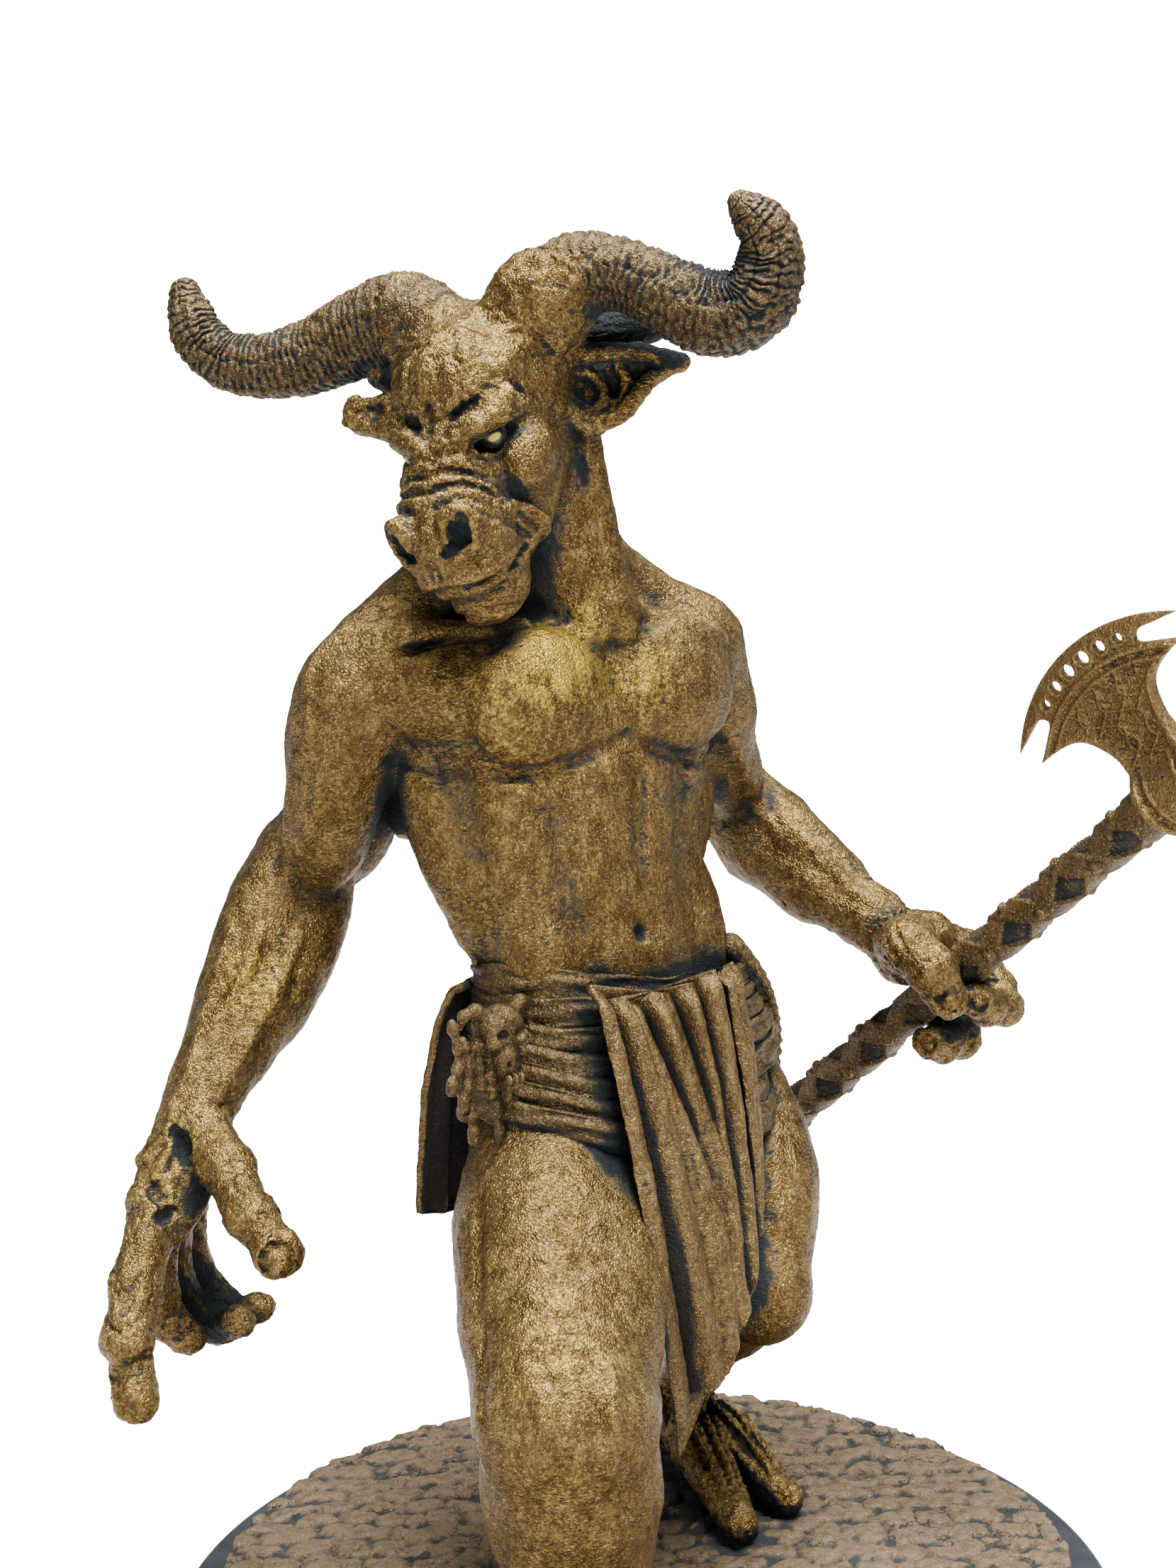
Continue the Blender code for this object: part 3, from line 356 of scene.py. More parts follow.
def face():
    """Skull, brow, eyes, muzzle with nostrils, jaw and mouth."""
    a = HEAD_AXES
    lump(head(0, -3, -3), (12.2, 15, 12.4), a, 3)
    lump(head(-0.4, 6, -1.8), (11.4, 10, 8.5), a, 3)
    chain([head(-0.5, 12, -4.5), head(-0.5, 21, -9.5)], [7.4, 7.6], 3)
    lump(head(0.2, 24, -13.2), (8.5, 9.8, 8.6), a, 2.5)
    lump(head(-0.4, 22.5, -23.4), (6.2, 7.4, 5.4), a, 0.8)
    lump(head(0, 4, 6.4), (6.4, 8.4, 4.6), a, 3)
    lump(head(-8.8, 13, -9.5), (3.6, 6, 5), a, 2)
    for s in (-1, 1):
        muscle(head(s * 1.2, 16.8, -1.6), head(s * 11.2, 9.5, 1.6), 2.4, 3.0, a[1], 1.2)
        lump(head(s * 8.4, 10.5, -9.0), (4.6, 6.6, 5.0), a, 2)
        muscle(head(s * 7.6, -2, -10), head(s * 4.6, 20, -20.5), 5.0, 3.6, a[0], 3)
        lump(head(0.3 + s * 4.6, 28.2, -8.8), (3.2, 4.4, 3.8), a, 1.0)
        lump(head(s * 7.2, 14.6, -3.6), (3.2, 3.2, 1.9), a, 0.8, cut=True)
        lump(head(s * 6.8, 12.6, -3.5), (2.4, 2.4, 1.9), a, 0.3)
        lump(head(0.2 + s * 5.2, 32.4, -8.8), (1.2, 3.2, 2.6), a, 0.5, cut=True)
        mouth = ((0, 35, -17.8), (6, 31.5, -18.6), (9.2, 24, -20.2), (9.8, 19, -20.8))
        chain([head(s * left, front, up) for left, front, up in mouth], [1.0, 1.0, 1.0, 0.8], 0.6, cut=True)


def ears():
    """Left ear as a pointed cup below the horn, and the small right ear seen edge on."""
    edge = [(10.6, -4.4, 218.6), (7.4, -4.9, 217.2), (4.9, -5.3, 215), (3.0, -5.6, 212.8),
            (1.2, -5.8, 211.4), (-0.8, -5.9, 210.4), (-3.0, -6, 209.4)]
    for place in edge:
        limb((-8.0, 0.5, 214.5), place, 4.2, 1.5, 1.6)
    rim = [(-5.6, -6.4, 210.6), (-8.6, -6.4, 214.5), (-8.5, -6.0, 219.4), (-3, -6.4, 220.2),
           (5, -5.6, 220.2)]
    chain(rim + [(11.2, -4.4, 218.8)], [1.6, 1.8, 1.9, 1.6, 1.5, 1.1], 1.2)
    lump((-0.2, -8.6, 215.0), (5.6, 4.8, 4.2), UPRIGHT, 0.8, cut=True)
    lump((5.2, -7.4, 217.2), (4.2, 2.6, 2.0), UPRIGHT, 0.6, cut=True)
    limb((-8, 3, 220.5), (7, 1, 225.4), 5, 3.5, 2)
    limb((-24, -1, 219), (-35, 2, 219.0), 5.0, 3.4, 2)
    limb((-32, -5, 210.5), (-39.4, -1.6, 211.4), 3.6, 2.3, 1.5)
    limb((-34, -3, 213.2), (-40.0, -2.4, 212.6), 2.6, 1.4, 1.0)


def face_details():
    """Brow, lids, folds over the muzzle, nostrils and lips, from the eye down to the chin."""
    a = HEAD_AXES
    for s in (-1, 1):
        def draw(size, blend, cut, *places, lift=None):
            cord([head(s * left, front, up) for left, front, up in places], size, blend, cut, lift=lift)

        slit = 0.58 * s * a[0] - 0.765 * a[1] - 0.27 * a[2]
        gaze = 0.76 * s * a[0] + 0.63 * a[1] - 0.15 * a[2]
        lump(head(s * 8.3, 14.9, -2.5), (4.6, 2.4, 1.75), (slit, gaze, np.cross(slit, gaze)), 0.6, True)
        draw(1.15, 1.4, False, (1.6, 19.4, -0.8), (4.4, 18.4, 0.5), (7.4, 16.2, 0.3), (10.0, 12.0, -0.9),
             (10.8, 8.8, -2.2))
        draw(0.55, 0.5, False, (3.8, 18.2, -1.7), (6.2, 17.0, -0.9), (8.8, 14.4, -1.2), (10.2, 11.0, -2.8))
        draw(0.6, 0.6, False, (3.6, 18.4, -3.1), (5.8, 16.8, -4.5), (8.4, 14.2, -5.0), (10.2, 10.8, -4.2))
        draw(0.3, 0.6, True, (4.0, 18.4, -4.6), (6.4, 16.4, -6.2), (8.6, 13.6, -6.6))
        draw(0.7, 0.9, True, (3.0, 15.8, 1.7), (4.9, 13.9, 2.7), (6.8, 11.7, 3.0))
        draw(0.65, 0.9, True, (2.2, 12.2, 5.0), (4.7, 11.0, 4.8), (7.0, 9.4, 4.1))
        draw(0.8, 1.0, False, (1.6, 14.6, 3.4), (4.2, 12.8, 4.0), (7.2, 10.6, 3.6))
        draw(0.4, 0.8, True, (9.0, 8.6, 1.6), (10.4, 6.4, -0.6), (11.2, 4.6, -4.0))
        folds = (
            ((-0.3, 22.4, -1.9), (3.7, 21.3, -2.6), (6.8, 19.4, -6.2)),
            ((-0.3, 25.0, -3.2), (4.0, 23.5, -3.9), (7.6, 20.6, -8.6)),
            ((0.6, 27.4, -4.6), (5.3, 25.0, -5.5), (8.2, 21.8, -10.6)),
        )
        for line in folds:
            draw(0.6, 0.8, False, *line)
        furrows = (
            ((-0.3, 23.8, -2.6), (3.9, 22.4, -3.2), (7.2, 20.0, -7.4)),
            ((-0.3, 26.2, -4.0), (4.7, 24.2, -4.7), (7.9, 21.2, -9.6)),
            ((1.6, 28.6, -5.4), (5.0, 27.0, -5.9), (7.6, 24.6, -9.0)),
        )
        for line in furrows:
            draw(0.38, 0.6, True, *line)
        draw(0.85, 0.8, False, (2.6, 31.8, -5.4), (5.2, 30.4, -5.0), (7.2, 29.0, -6.4), (7.6, 28.8, -9.2),
             (6.0, 30.2, -11.8), (3.2, 32.2, -12.4))
        draw(0.95, 0.35, True, (6.9, 29.8, -5.6), (6.9, 30.6, -7.8), (4.6, 31.6, -10.2), (2.6, 32.7, -10.8),
             lift=-0.2)
        lump(head(s * 5.9, 31.4, -8.6), (1.1, 2.4, 1.7), a, 0.4, True)
        draw(0.6, 0.7, True, (7.7, 27.1, -6.6), (8.4, 24.6, -11.0), (7.8, 20.0, -16.0), (7.2, 17.4, -20.0))
        draw(0.6, 1.6, False, (8.3, 21.0, -11.3), (8.6, 17.4, -13.4), (8.3, 15.1, -17.6), (7.6, 14.4, -21.0))
        draw(0.5, 0.5, True, (8.3, 22.0, -10.4), (8.6, 18.4, -12.2), (9.0, 15.9, -15.0), (8.6, 14.0, -18.6))
        draw(0.6, 0.9, False, (0, 34.4, -15.0), (3.4, 33.0, -15.8), (6.8, 29.4, -17.0), (8.4, 24.4, -18.4),
             (8.2, 20.4, -19.6))
        draw(0.75, 0.35, True, (0, 33.2, -16.9), (2.4, 32.0, -17.4), (5.6, 29.0, -18.2), (7.8, 24.0, -19.6),
             (8.2, 19.0, -20.2))
        draw(0.75, 0.5, True, (7.4, 24.6, -19.7), (8.0, 21.6, -20.2), (7.8, 18.6, -20.8))
        draw(0.7, 0.9, False, (0, 32.6, -18.9), (3.6, 31.0, -19.6), (6.6, 27.0, -20.8), (7.4, 22.6, -21.8))
        draw(0.45, 0.7, True, (2, 30.8, -23.2), (4.2, 28.0, -25.0), (5.0, 24.0, -26.6))
        draw(0.35, 0.5, True, (0.6, 33.6, -11.2), (0.7, 34.2, -13.6), (0.5, 34.0, -15.4))
    for i in range(7):
        side = -7.5 + 2.5 * i
        bent = 0.8 * sin(3 * i)
        forehead = ((side + bent, 5, 8.4), (side * 0.85 - bent, 9.5, 6.2), (side * 0.65 + bent, 13.2, 3.6))
        cord([head(*place) for place in forehead], 0.75, 0.9, i % 2 == 0)
    cord([head(-0.6, 19.0, 0.2), head(-0.8, 16.0, 2.2), head(-0.4, 12.4, 5.0)], 0.6, 0.8, True)
    chain(LEFT_HORN[:3], (7.6, 7.6, 6.3), 3)
    chain(RIGHT_HORN[:2], (7.6, 7.6), 3)
    lump(head(-0.5, 3.5, 4.0), (11.5, 9.5, 5.0), a, 3)


def ear_details():
    """Thick rim, ragged lower edge and inner folds of the left ear, and the cup of the small far ear."""
    rim = spline([(-6.0, -7.0, 210.2), (-8.6, -7.6, 213.8), (-8.4, -7.6, 218.2), (-4.6, -7.2, 220.2),
                  (1.6, -6.6, 220.5), (7.5, -5.8, 219.9), (12.0, -4.6, 218.8)], 5)
    chain(rim, np.linspace(1.5, 0.9, len(rim)), 0.8)
    lower = spline([(12.0, -4.6, 218.8), (8.2, -5.4, 217.2), (5.6, -5.8, 215), (3.6, -6.2, 212.4),
                    (1.6, -6.4, 210.8), (-0.6, -6.4, 209.8), (-3.2, -6.6, 208.6), (-6.0, -7.0, 210.2)], 5)
    chain(lower, 0.95 + 0.25 * np.sin(np.arange(len(lower)) * 1.9), 1.0)
    folds = (
        ([(-4.6, -5.6, 218.0), (-1.6, -4.6, 216.6), (-0.6, -4.6, 213.6), (-2.0, -5.6, 211.4)], 0.8),
        ([(1.6, -5.6, 218.4), (3.0, -4.9, 216.4), (2.2, -5.0, 214.4), (0.9, -5.6, 212.6)], 0.6),
    )
    for line, size in folds:
        line = spline(line, 5)
        chain(line, np.full(len(line), size), 0.8)
    lump((1.0, -7.6, 215.2), (1.3, 3.4, 2.2), UPRIGHT, 0.4, True)
    lump((-3.9, -8.0, 214.4), (1.5, 3.4, 2.6), UPRIGHT, 0.4, True)
    lump((-37.6, -5.6, 212.6), (3.0, 1.8, 1.9), UPRIGHT, 0.5, True)
    limb((-39.8, -2.6, 214.0), (-41.4, -2.0, 211.0), 1.2, 0.8, 0.6)


def head_creases(points):
    """Push for the hide of the head: knobbly with many short cracks, smoother on the cheek and the lips."""
    local = (points - HEAD_CENTRE) @ np.array(HEAD_AXES).T
    calm = np.exp(-(((local[:, 1] - 13) / 8) ** 2 + ((local[:, 2] + 12) / 6) ** 2))
    calm = np.maximum(calm, smooth_step(192, 186, points[:, 2]))
    knobs = 0.20 * ripple(points, 3.4, 11) + 0.11 * ripple(points, 1.4, 12)
    calm = np.maximum(calm, 0.55 * smooth_step(-1, -5, local[:, 2]))
    bent = points + 1.2 * ripple(points, 5, 18)[:, None]
    cracks = ripple(bent * (1, 1, 1.9), 3.0, 13) + 0.5 * ripple(points, 1.1, 14)
    return (knobs - 0.32 * bell(cracks, 0.17)) * (1 - 0.75 * calm)


# Arms and hands: part of the casting. The right hand hangs open, and the left is a fist with a hole from
# end to end, through which the axe's handle was slid.

# The axe's shaft runs up through the left fist. The fingers are placed around its line.
SHAFT_FOOT = np.array([32.8, 48, 83.0])
SHAFT_TOP = np.array([86.3, -21.5, 152.3])
SHAFT = unit(SHAFT_TOP - SHAFT_FOOT)
NEAR = unit(np.array([0, -1.0, 0]) + SHAFT[1] * SHAFT)
UNDER = np.cross(SHAFT, NEAR)
GRIP = np.array([53.1, 22, 109.2])


def beside_shaft(near, under, along):
    """A point given from the grip: towards the front, below the shaft, and along it."""
    return GRIP + near * NEAR + under * UNDER + along * SHAFT


def right_arm():
    """Arm hanging away from the body."""
    muscle((-35.7, -5, 180.3), (-47.9, -1, 149), 10.3, 9.5, FRONT, 2.5)
    muscle((-33, -9, 178.5), (-46, -5, 151), 6.8, 5.5, FRONT, 1.5)
    limb((-42.5, -4, 168), (-51, 9, 139), 8, 6.5, 3)
    muscle((-41.5, -8, 163), (-50.5, 2, 135), 7.2, 6.5, FRONT, 3)
    muscle((-38.4, 4, 168), (-47.4, 14, 134), 7.9, 6.5, FRONT, 2)
    forearm = [(-53.2, 10, 139.5), (-56, 8, 131), (-58, 4, 124), (-61, -1, 117.5), (-64.6, -6, 111.5),
               (-67.8, -10, 106.3), (-69.5, -13, 102)]
    chain(forearm, [7.9, 9.3, 8.9, 8.1, 6.7, 5.6, 5.7], 3)
    muscle((-54, 5, 145), (-68, -5, 112), 5.5, 5.5, FRONT, 3)
    muscle((-46.8, 8, 139), (-60.5, -4, 111), 6.3, 5.6, FRONT, 2)


def right_hand():
    """Broad palm, thumb and curled fingers."""
    muscle((-68.6, -12, 104), (-75.6, -23, 84), 6.3, 4.3, FRONT, 2.5, extra=1.08)
    thumb = [(-68.5, -15, 101.5), (-63.5, -22, 96.5), (-59, -30, 91.2), (-54.5, -34.5, 87)]
    chain(thumb, [4.3, 4.1, 3.5, 3.3], 1.6)
    pointing = [(-75.2, -21, 90), (-77.4, -28, 80), (-78.2, -33.5, 73.5), (-76.8, -36.5, 64.4)]
    chain(pointing, [4.0, 3.9, 3.8, 3.6], 1.2)
    middle = [(-74.8, -17.5, 89), (-77, -16, 77.5), (-76, -14, 68.5), (-72.4, -14, 65.4)]
    chain(middle, [4.0, 3.5, 3.1, 2.8], 1.2)
    ring = [(-73.6, -13, 89), (-76, -8.5, 77), (-73.6, -6.5, 67.5), (-68.5, -8, 64.6), (-64.5, -10.5, 66.4)]
    chain(ring, [3.8, 3.3, 3.0, 2.8, 2.5], 1.2)
    little = [(-72, -8.5, 89), (-74, -3, 78), (-71.5, -0.5, 68.5), (-66, -3, 65), (-62, -6, 67)]
    chain(little, [3.6, 3.1, 2.8, 2.7, 2.4], 1.2)


def left_arm():
    """Arm reaching back and out to the shaft."""
    muscle((9.2, 18, 176.2), (19.6, 32, 150), 9.4, 8.8, FRONT, 2.5)
    lump((12.0, 20, 171.8), (10.0, 9, 9), UPRIGHT, 4)
    limb((14, 24, 168), (21, 47, 141), 7.3, 6.4, 3)
    muscle((14, 21, 163), (23, 42, 140), 6.3, 6, FRONT, 1.6)
    muscle((13, 30, 166), (20, 51, 139), 6.5, 6, FRONT, 2)
    chain([(21.7, 48, 140), (27, 43, 134.8), (35, 36, 128.2), (44, 28, 122.2)], [7.4, 8.6, 7.4, 5.2], 3)
    muscle((20, 45, 148), (41, 30, 127), 4.8, 4.8, FRONT, 1.6)
    chain([(44, 28, 122.2), beside_shaft(-4.5, -8.6, 2.6)], [5.0, 4.8], 3)


def left_hand():
    """Fist about the shaft: fingers round behind and below it, and the thumb across its front."""
    lump(beside_shaft(-4.2, -6.8, 3.5), (8.8, 5.4, 5.8), (SHAFT, NEAR, UNDER), 3)
    lump(beside_shaft(0.5, -9.6, 7.5), (5.6, 4.6, 4.6), (SHAFT, NEAR, UNDER), 2)
    fingers = (
        [(-5.0, -6.4, 7.5), (-7.6, 1.5, 7.5), (-4.5, 8.2, 7.5), (-0.6, 9.8, 8), (4.0, 6.8, 10),
         (5.8, 4.2, 11.6)],
        [(-6.0, -5.6, 1.5), (-7.8, 2.0, 0.0), (-5, 8.6, -3.5), (-1.6, 10.2, -5.6), (3.0, 7.4, -4.8),
         (5.2, 4.4, -4.0)],
        [(-6.5, -4, -3), (-8.2, 1.5, -4.5), (-7.0, 6.0, -7.5), (-3.6, 7.6, -9.0)],
    )
    for line, r in zip(fingers, (3.4, 3.3, 3.0)):
        chain([beside_shaft(*place) for place in line], np.linspace(r, 0.88 * r, len(line)), 0.8)
    thumb = ((-2.5, -10.2, 5), (4.0, -10.6, 11.0), (7.4, -6.2, 12.8), (8.6, -0.6, 10.6))
    chain([beside_shaft(*place) for place in thumb], [4.6, 4.3, 4.0, 3.4], 1.4)


def right_hand_details():
    """Knuckles, finger joints, nails and tendons of the open hand."""
    fingers = (((-75, -20.5, 91), (-77.4, -28, 80), (-78.2, -33.5, 73.5), (-76.8, -36.6, 64.8)),
               ((-74.8, -17.5, 89), (-77, -16, 77.5), (-76, -14, 68.5), (-72.4, -14, 65.4)),
               ((-73.6, -13, 89), (-76, -8.5, 77), (-73.6, -6.5, 67.5), (-64.5, -10.5, 66.4)),
               ((-72, -8.5, 89), (-74, -3, 78), (-71.5, -0.5, 68.5), (-62, -6, 67)))
    for joints in fingers:
        for at, size in zip(joints, (4.2, 3.9, 3.6, 3.2)):
            lump(np.array(at) + (-0.5, -0.4, 0.2), (size, size * 0.95, size * 0.72), UPRIGHT, 0.9)
    wrist = ((-69, -17, 103), (-71, -16, 103), (-71.5, -13, 102), (-71, -10, 101))
    for start, (end, *_) in zip(wrist, fingers):
        cord([start, (np.array(start) + end) / 2 + (-1.2, -0.8, 0), end], 1.0, 0.8)
    for at, size in (((-68.5, -15, 101.5), 4.3), ((-63.2, -22.3, 96.3), 4.5), ((-58.6, -30.3, 91.0), 4.2)):
        lump(at, (size, size, size * 0.85), UPRIGHT, 1.0)
    lump((-54.4, -35.2, 86.8), (4.1, 3.4, 4.2), UPRIGHT, 1.0)
    lump((-54.0, -37.9, 86.2), (3.2, 1.6, 3.4), UPRIGHT, 0.3, True)
    lump((-54.0, -35.8, 86.1), (2.6, 3.0, 2.8), UPRIGHT, 0.2)
    lump((-77.9, -34.4, 73.2), (4.1, 4.2, 3.4), UPRIGHT, 1.0)
    for z, deep in ((83.5, 0.5), (81.6, 0.4), (76.6, 0.5), (70.2, 0.8), (69.0, 0.5)):
        line = [(-83.0, -31.0 - 0.12 * (76 - z), z + 0.6), (-79.0, -38.0, z - 0.4), (-74.5, -34.0, z + 0.8)]
        cord(line, deep, 0.5, True)
    hollows = (([(-71.5, -18.0, 101.6), (-68.7, -19.0, 99.5), (-65.7, -21.0, 96.8)], 1.1),
               ([(-75.5, -22.0, 93.8), (-73.1, -24.0, 91.1)], 1.1),
               ([(-74.0, -26.0, 89.3), (-70.6, -26.0, 91.1)], 0.9),
               ([(-78.2, -16.0, 96.8), (-76.5, -18.0, 93.9)], 1.0))
    for line, deep in hollows:
        cord(line, deep, 0.9, True, lift=-0.1)
    for i in range(4):
        line = [(-61.8 + 2 * i, -28 - 2 * i, 96 - 2.1 * i), (-60.2 + 2 * i, -30.2 - 2 * i, 94 - 2.1 * i),
                (-58.4 + 2 * i, -29.6 - 2 * i, 91.8 - 2 * i)]
        cord(line, 0.25, 0.35, True)
    lump((-77.2, -40.2, 64.4), (2.0, 0.9, 2.7), UPRIGHT, 0.3, True)


def left_hand_details():
    """Knuckles and nails of the fist, and the wrinkles at the wrist."""
    joints = (
        ((-0.6, 10.4, 8.0), 3.9), ((4.4, 6.6, 10.2), 3.1), ((-1.6, 10.8, -5.6), 3.8),
        ((3.2, 7.4, -4.8), 3.1), ((-5.0, -7.0, 7.6), 4.0), ((-6.0, -6.6, 1.6), 4.2),
        ((7.4, -6.4, 13.0), 4.5),
    )
    for place, size in joints:
        lump(beside_shaft(*place), (size, size * 0.9, size * 0.9), (SHAFT, NEAR, UNDER), 0.8)
    for tip, size in (((8.7, -0.4, 10.5), 1.0), ((5.9, 4.0, 11.8), 0.72), ((5.3, 4.2, -4.0), 0.75)):
        nail = beside_shaft(*tip) + np.array((-0.4, -3.0, 0.8)) * size
        lump(nail, (2.6 * size, 0.9 * size, 2.8 * size), UPRIGHT, 0.3, True)
        lump(nail + np.array((0.2, 2.4, -0.5)) * size, (2.0 * size, 3.0 * size, 2.1 * size), UPRIGHT, 0.2)
    for i in range(5):
        middle = np.array((44.5 + 0.6 * i, 26.5 - 0.4 * i, 122.0 - 1.3 * i))
        wrinkle = [middle + step for step in ((-3, -4, 3.6), (1.6, -5.6, 4.2), (4.6, -2, 2.4))]
        cord(wrinkle, 0.35, 0.5, i % 2 == 0)
    for i in range(3):
        line = ((1.5, -14.0, 7 + 2.2 * i), (5.6, -13.4, 9 + 2 * i), (8.4, -9.4, 9.6 + 2 * i))
        cord([beside_shaft(*place) for place in line], 0.35, 0.5, True)


def hand_creases(points):
    """Push for the hands: the skin's wrinkles with gnarled lumps and short cracks."""
    cracks = ripple(points, 2.0, 15) + 0.5 * ripple(points, 0.9, 16)
    return creases(points) + 0.12 * ripple(points, 2.6, 17) - 0.22 * bell(cracks, 0.16)


# Legs and feet: part of the casting, bull's legs with fetlocks and split hooves. The right one steps
# forward, and the left one is bent and left behind.


def right_leg():
    """Leg stepping forward: thigh, knee, shin, fetlock and split hoof."""
    chain([(-12, 2, 101), (-13, -20, 84), (-11.5, -42, 66)], [12.5, 14.0, 12.5], 4)
    muscle((-15.6, 0, 104), (-19.8, -45, 62), 9.8, 9.5, FRONT, 3)
    muscle((-6.5, -6, 98), (-2.4, -43, 64), 9.0, 9, FRONT, 3)
    lump((-11.2, -47, 63), (13, 9, 10), UPRIGHT, 4)
    shin = [(-11, -43, 62), (-10.3, -41, 50), (-10.6, -39.5, 40), (-11, -40, 30), (-11, -42, 26)]
    chain(shin, [12.8, 12.2, 10.8, 7.6, 7], 4)
    muscle((-18.4, -38, 61), (-16, -38, 36), 7.4, 8, FRONT, 3)
    muscle((-3.8, -38, 62), (-6.2, -37, 38), 6.8, 8, FRONT, 3)
    for s in (-1, 1):
        toe = [(-11 + 2.5 * s, -42, 26), (-11 + 4.6 * s, -50, 23), (-11 + 5.6 * s, -60, 20.4)]
        chain(toe, [6, 5.2, 3.4], 1.2)
        limb((-11 + 4 * s, -36, 23), (-11 + 4.5 * s, -32, 20.5), 3.2, 2.4, 2)


def left_leg():
    """Leg left behind: thigh, bent knee, calf, fetlock and split hoof."""
    chain([(15, 24, 98), (18.2, 10, 82), (21.5, -3, 66)], [11.5, 11.5, 7.5], 4)
    muscle((18.8, 22, 101), (24.4, -4, 68), 9.7, 9.4, FRONT, 3)
    muscle((11, 20, 96), (19, -2, 68), 8, 8.5, FRONT, 3)
    lump((21.5, -4, 66.5), (7.2, 6, 8), UPRIGHT, 3)
    shin = [(21, -2, 65), (17.2, 12, 56), (12.5, 26, 45.5), (8.6, 34.5, 34), (8, 37, 26)]
    chain(shin, [7.0, 6.6, 5.8, 4.9, 5.2], 3)
    muscle((17, 6, 62), (9.5, 34, 40), 5.8, 6.2, (0, 1, 0.5), 3)
    chain([(8, 37, 28), (11.5, 26, 25), (17, 6, 20.8)], [5.4, 5.0, 3.3], 1.2)
    chain([(9, 38, 28), (17, 31, 25), (25, 16.5, 20.8)], [5.2, 4.8, 3.3], 1.2)
    limb((6, 41, 25), (3, 44, 20.5), 3.4, 2.4, 2)


def feet_details():
    """Split hooves grooved along their length, and shaggy hair over the ankles."""
    toes = [
        [(-13.6, -43, 31), (-15.6, -50.5, 28.5), (-16.8, -62, 23.6)],
        [(-8.4, -43, 31), (-6.4, -50.5, 28.5), (-5.2, -62, 23.6)],
        [(9, 33, 33), (12.2, 24, 30.5), (17.4, 5, 24)],
        [(12, 36, 32), (18.4, 29, 30), (26.2, 14.8, 24)],
    ]
    for toe in toes:
        path = spline(toe, 5)
        across = unit(np.cross(path[-1] - path[0], (0, 0, 1.0)))
        limb(path[2] + (0, 0, -3.6), path[-1] + (0, 0, -3.2), 3.8, 3.0, 1.2)
        for i in range(7):
            offset = (i - 3) * 1.25
            closing = 1 - 0.3 * np.arange(len(path))[:, None] / len(path)
            line = path + across * offset * closing + (0, 0, -0.2 * offset**2)
            cord(line[1::2], 0.75, 0.4, i % 2 == 1, 3, -0.2 if i % 2 == 1 else None)
    random = np.random.default_rng(5)
    for centre, radius in (((-11, -41, 34), 7.4), ((8.2, 37, 33), 5.8)):
        for i in range(22):
            a = tau * i / 22 + random.uniform(-0.12, 0.12)
            way = np.array((cos(a), sin(a), 0))
            start = centre + way * radius + (0, 0, random.uniform(0, 4))
            lock = [start, start + way * 1.0 + (0, 0, -4.0), start + way * 1.8 + (0.6, 0, -8.0)]
            cord(lock, 0.7, 0.6, i % 2 == 1, 4)


def foot_creases(points):
    """Push for the feet: long grooves that run down the ankle and out to the hoof's tip."""
    grooves = ripple(points * (1, 0.22, 0.35), 1.5, 19) + 0.4 * ripple(points, 1.2, 20)
    return creases(points) - 0.38 * bell(grooves, 0.3)


# Skins of the figure: the clay of the body, head, hands and feet, each meshed with its own grain,
# roughened and painted. One rough clay of the whole figure, with rough clothes, tells how sheltered each
# spot of them is, and the paint is darkened there as painted shade.


def waist_wraps():
    """Rough turns of cloth about the hips. They only shelter the skin for its painted shade, like the two
    falls of cloth below.
    """
    for i in range(6):
        ring, thick = [], []
        for k in range(25):
            t = 2 * pi * k / 24
            drop = (1.0 + 0.5 * i) * max(0, sin(t)) + 1.0 * sin(2 * t + i)
            z = 120.2 - 2.2 * cos(t - 0.35) - 3.6 * i - drop
            push = 1.0 * i * max(0, cos(t - 2.2))
            left, front = (21.8 + 0.75 * i + push) * cos(t), (15.2 + 0.7 * i + push) * sin(t)
            ring.append(torso(left, front, z))
            thick.append(1.8 + 0.35 * sin(3 * t + 2 * i))
        chain(ring, thick, 0.8)
    lump(torso(0, 0, 107), (22.8, 16.5, 12), axes(107), 2)


def front_cloth():
    """Rough front fall of the loincloth, from the belt to a point beside the right knee."""
    for i in range(7):
        t = i / 6
        fold = [(-5.5 + 20.5 * t, -16.5 + 10 * t, 119.5 - 2.0 * sin(pi * t)),
                (-1.0 + 17.5 * t, -23.5 + 14.5 * t, 98.0),
                (3.2 + 14.4 * t, -28 + 13.5 * t, 76.0),
                (5.2 + 12.2 * t, -27 + 11 * t, 49 + 20.5 * t ** 1.3)]
        swell = (0.25, -0.35, 0.6, -0.3, 0.7, -0.2, 0.5)[i]
        chain(fold, [1.4, 1.9 + swell, 2.2 + swell, 1.7 + swell * 0.5], 0.9, smooth=3)
    for i in range(4):
        t = i / 3
        fold = [(15.5 + 5 * t, -2.5 + 12 * t, 118 - t), (17.3 + 6.2 * t, -6.5 + 14 * t, 100),
                (18.2 + 3 * t, -8.5 + 10 * t, 80.5 + 14 * t)]
        chain(fold, [1.5, 1.9, 1.5], 0.9, smooth=3)


def rear_cloth():
    """Rough rear fall of the loincloth, down to the middle of the thighs."""
    for i in range(12):
        t = i / 11
        left = -31 + 50 * t
        front = 2 - 16.5 * cos((t - 0.5) * 2.1)
        swell = 0.35 * sin(2.4 * i)
        hem = torso(left * 1.12, front - 4.5, 80.5 - 5 * sin(pi * t))
        fold = [torso(left * 0.82, front * 0.95, 119), torso(left, front - 2.0, 100), hem]
        chain(fold, [1.5, 2.3 + swell, 2.0 + swell], 0.9, smooth=3)


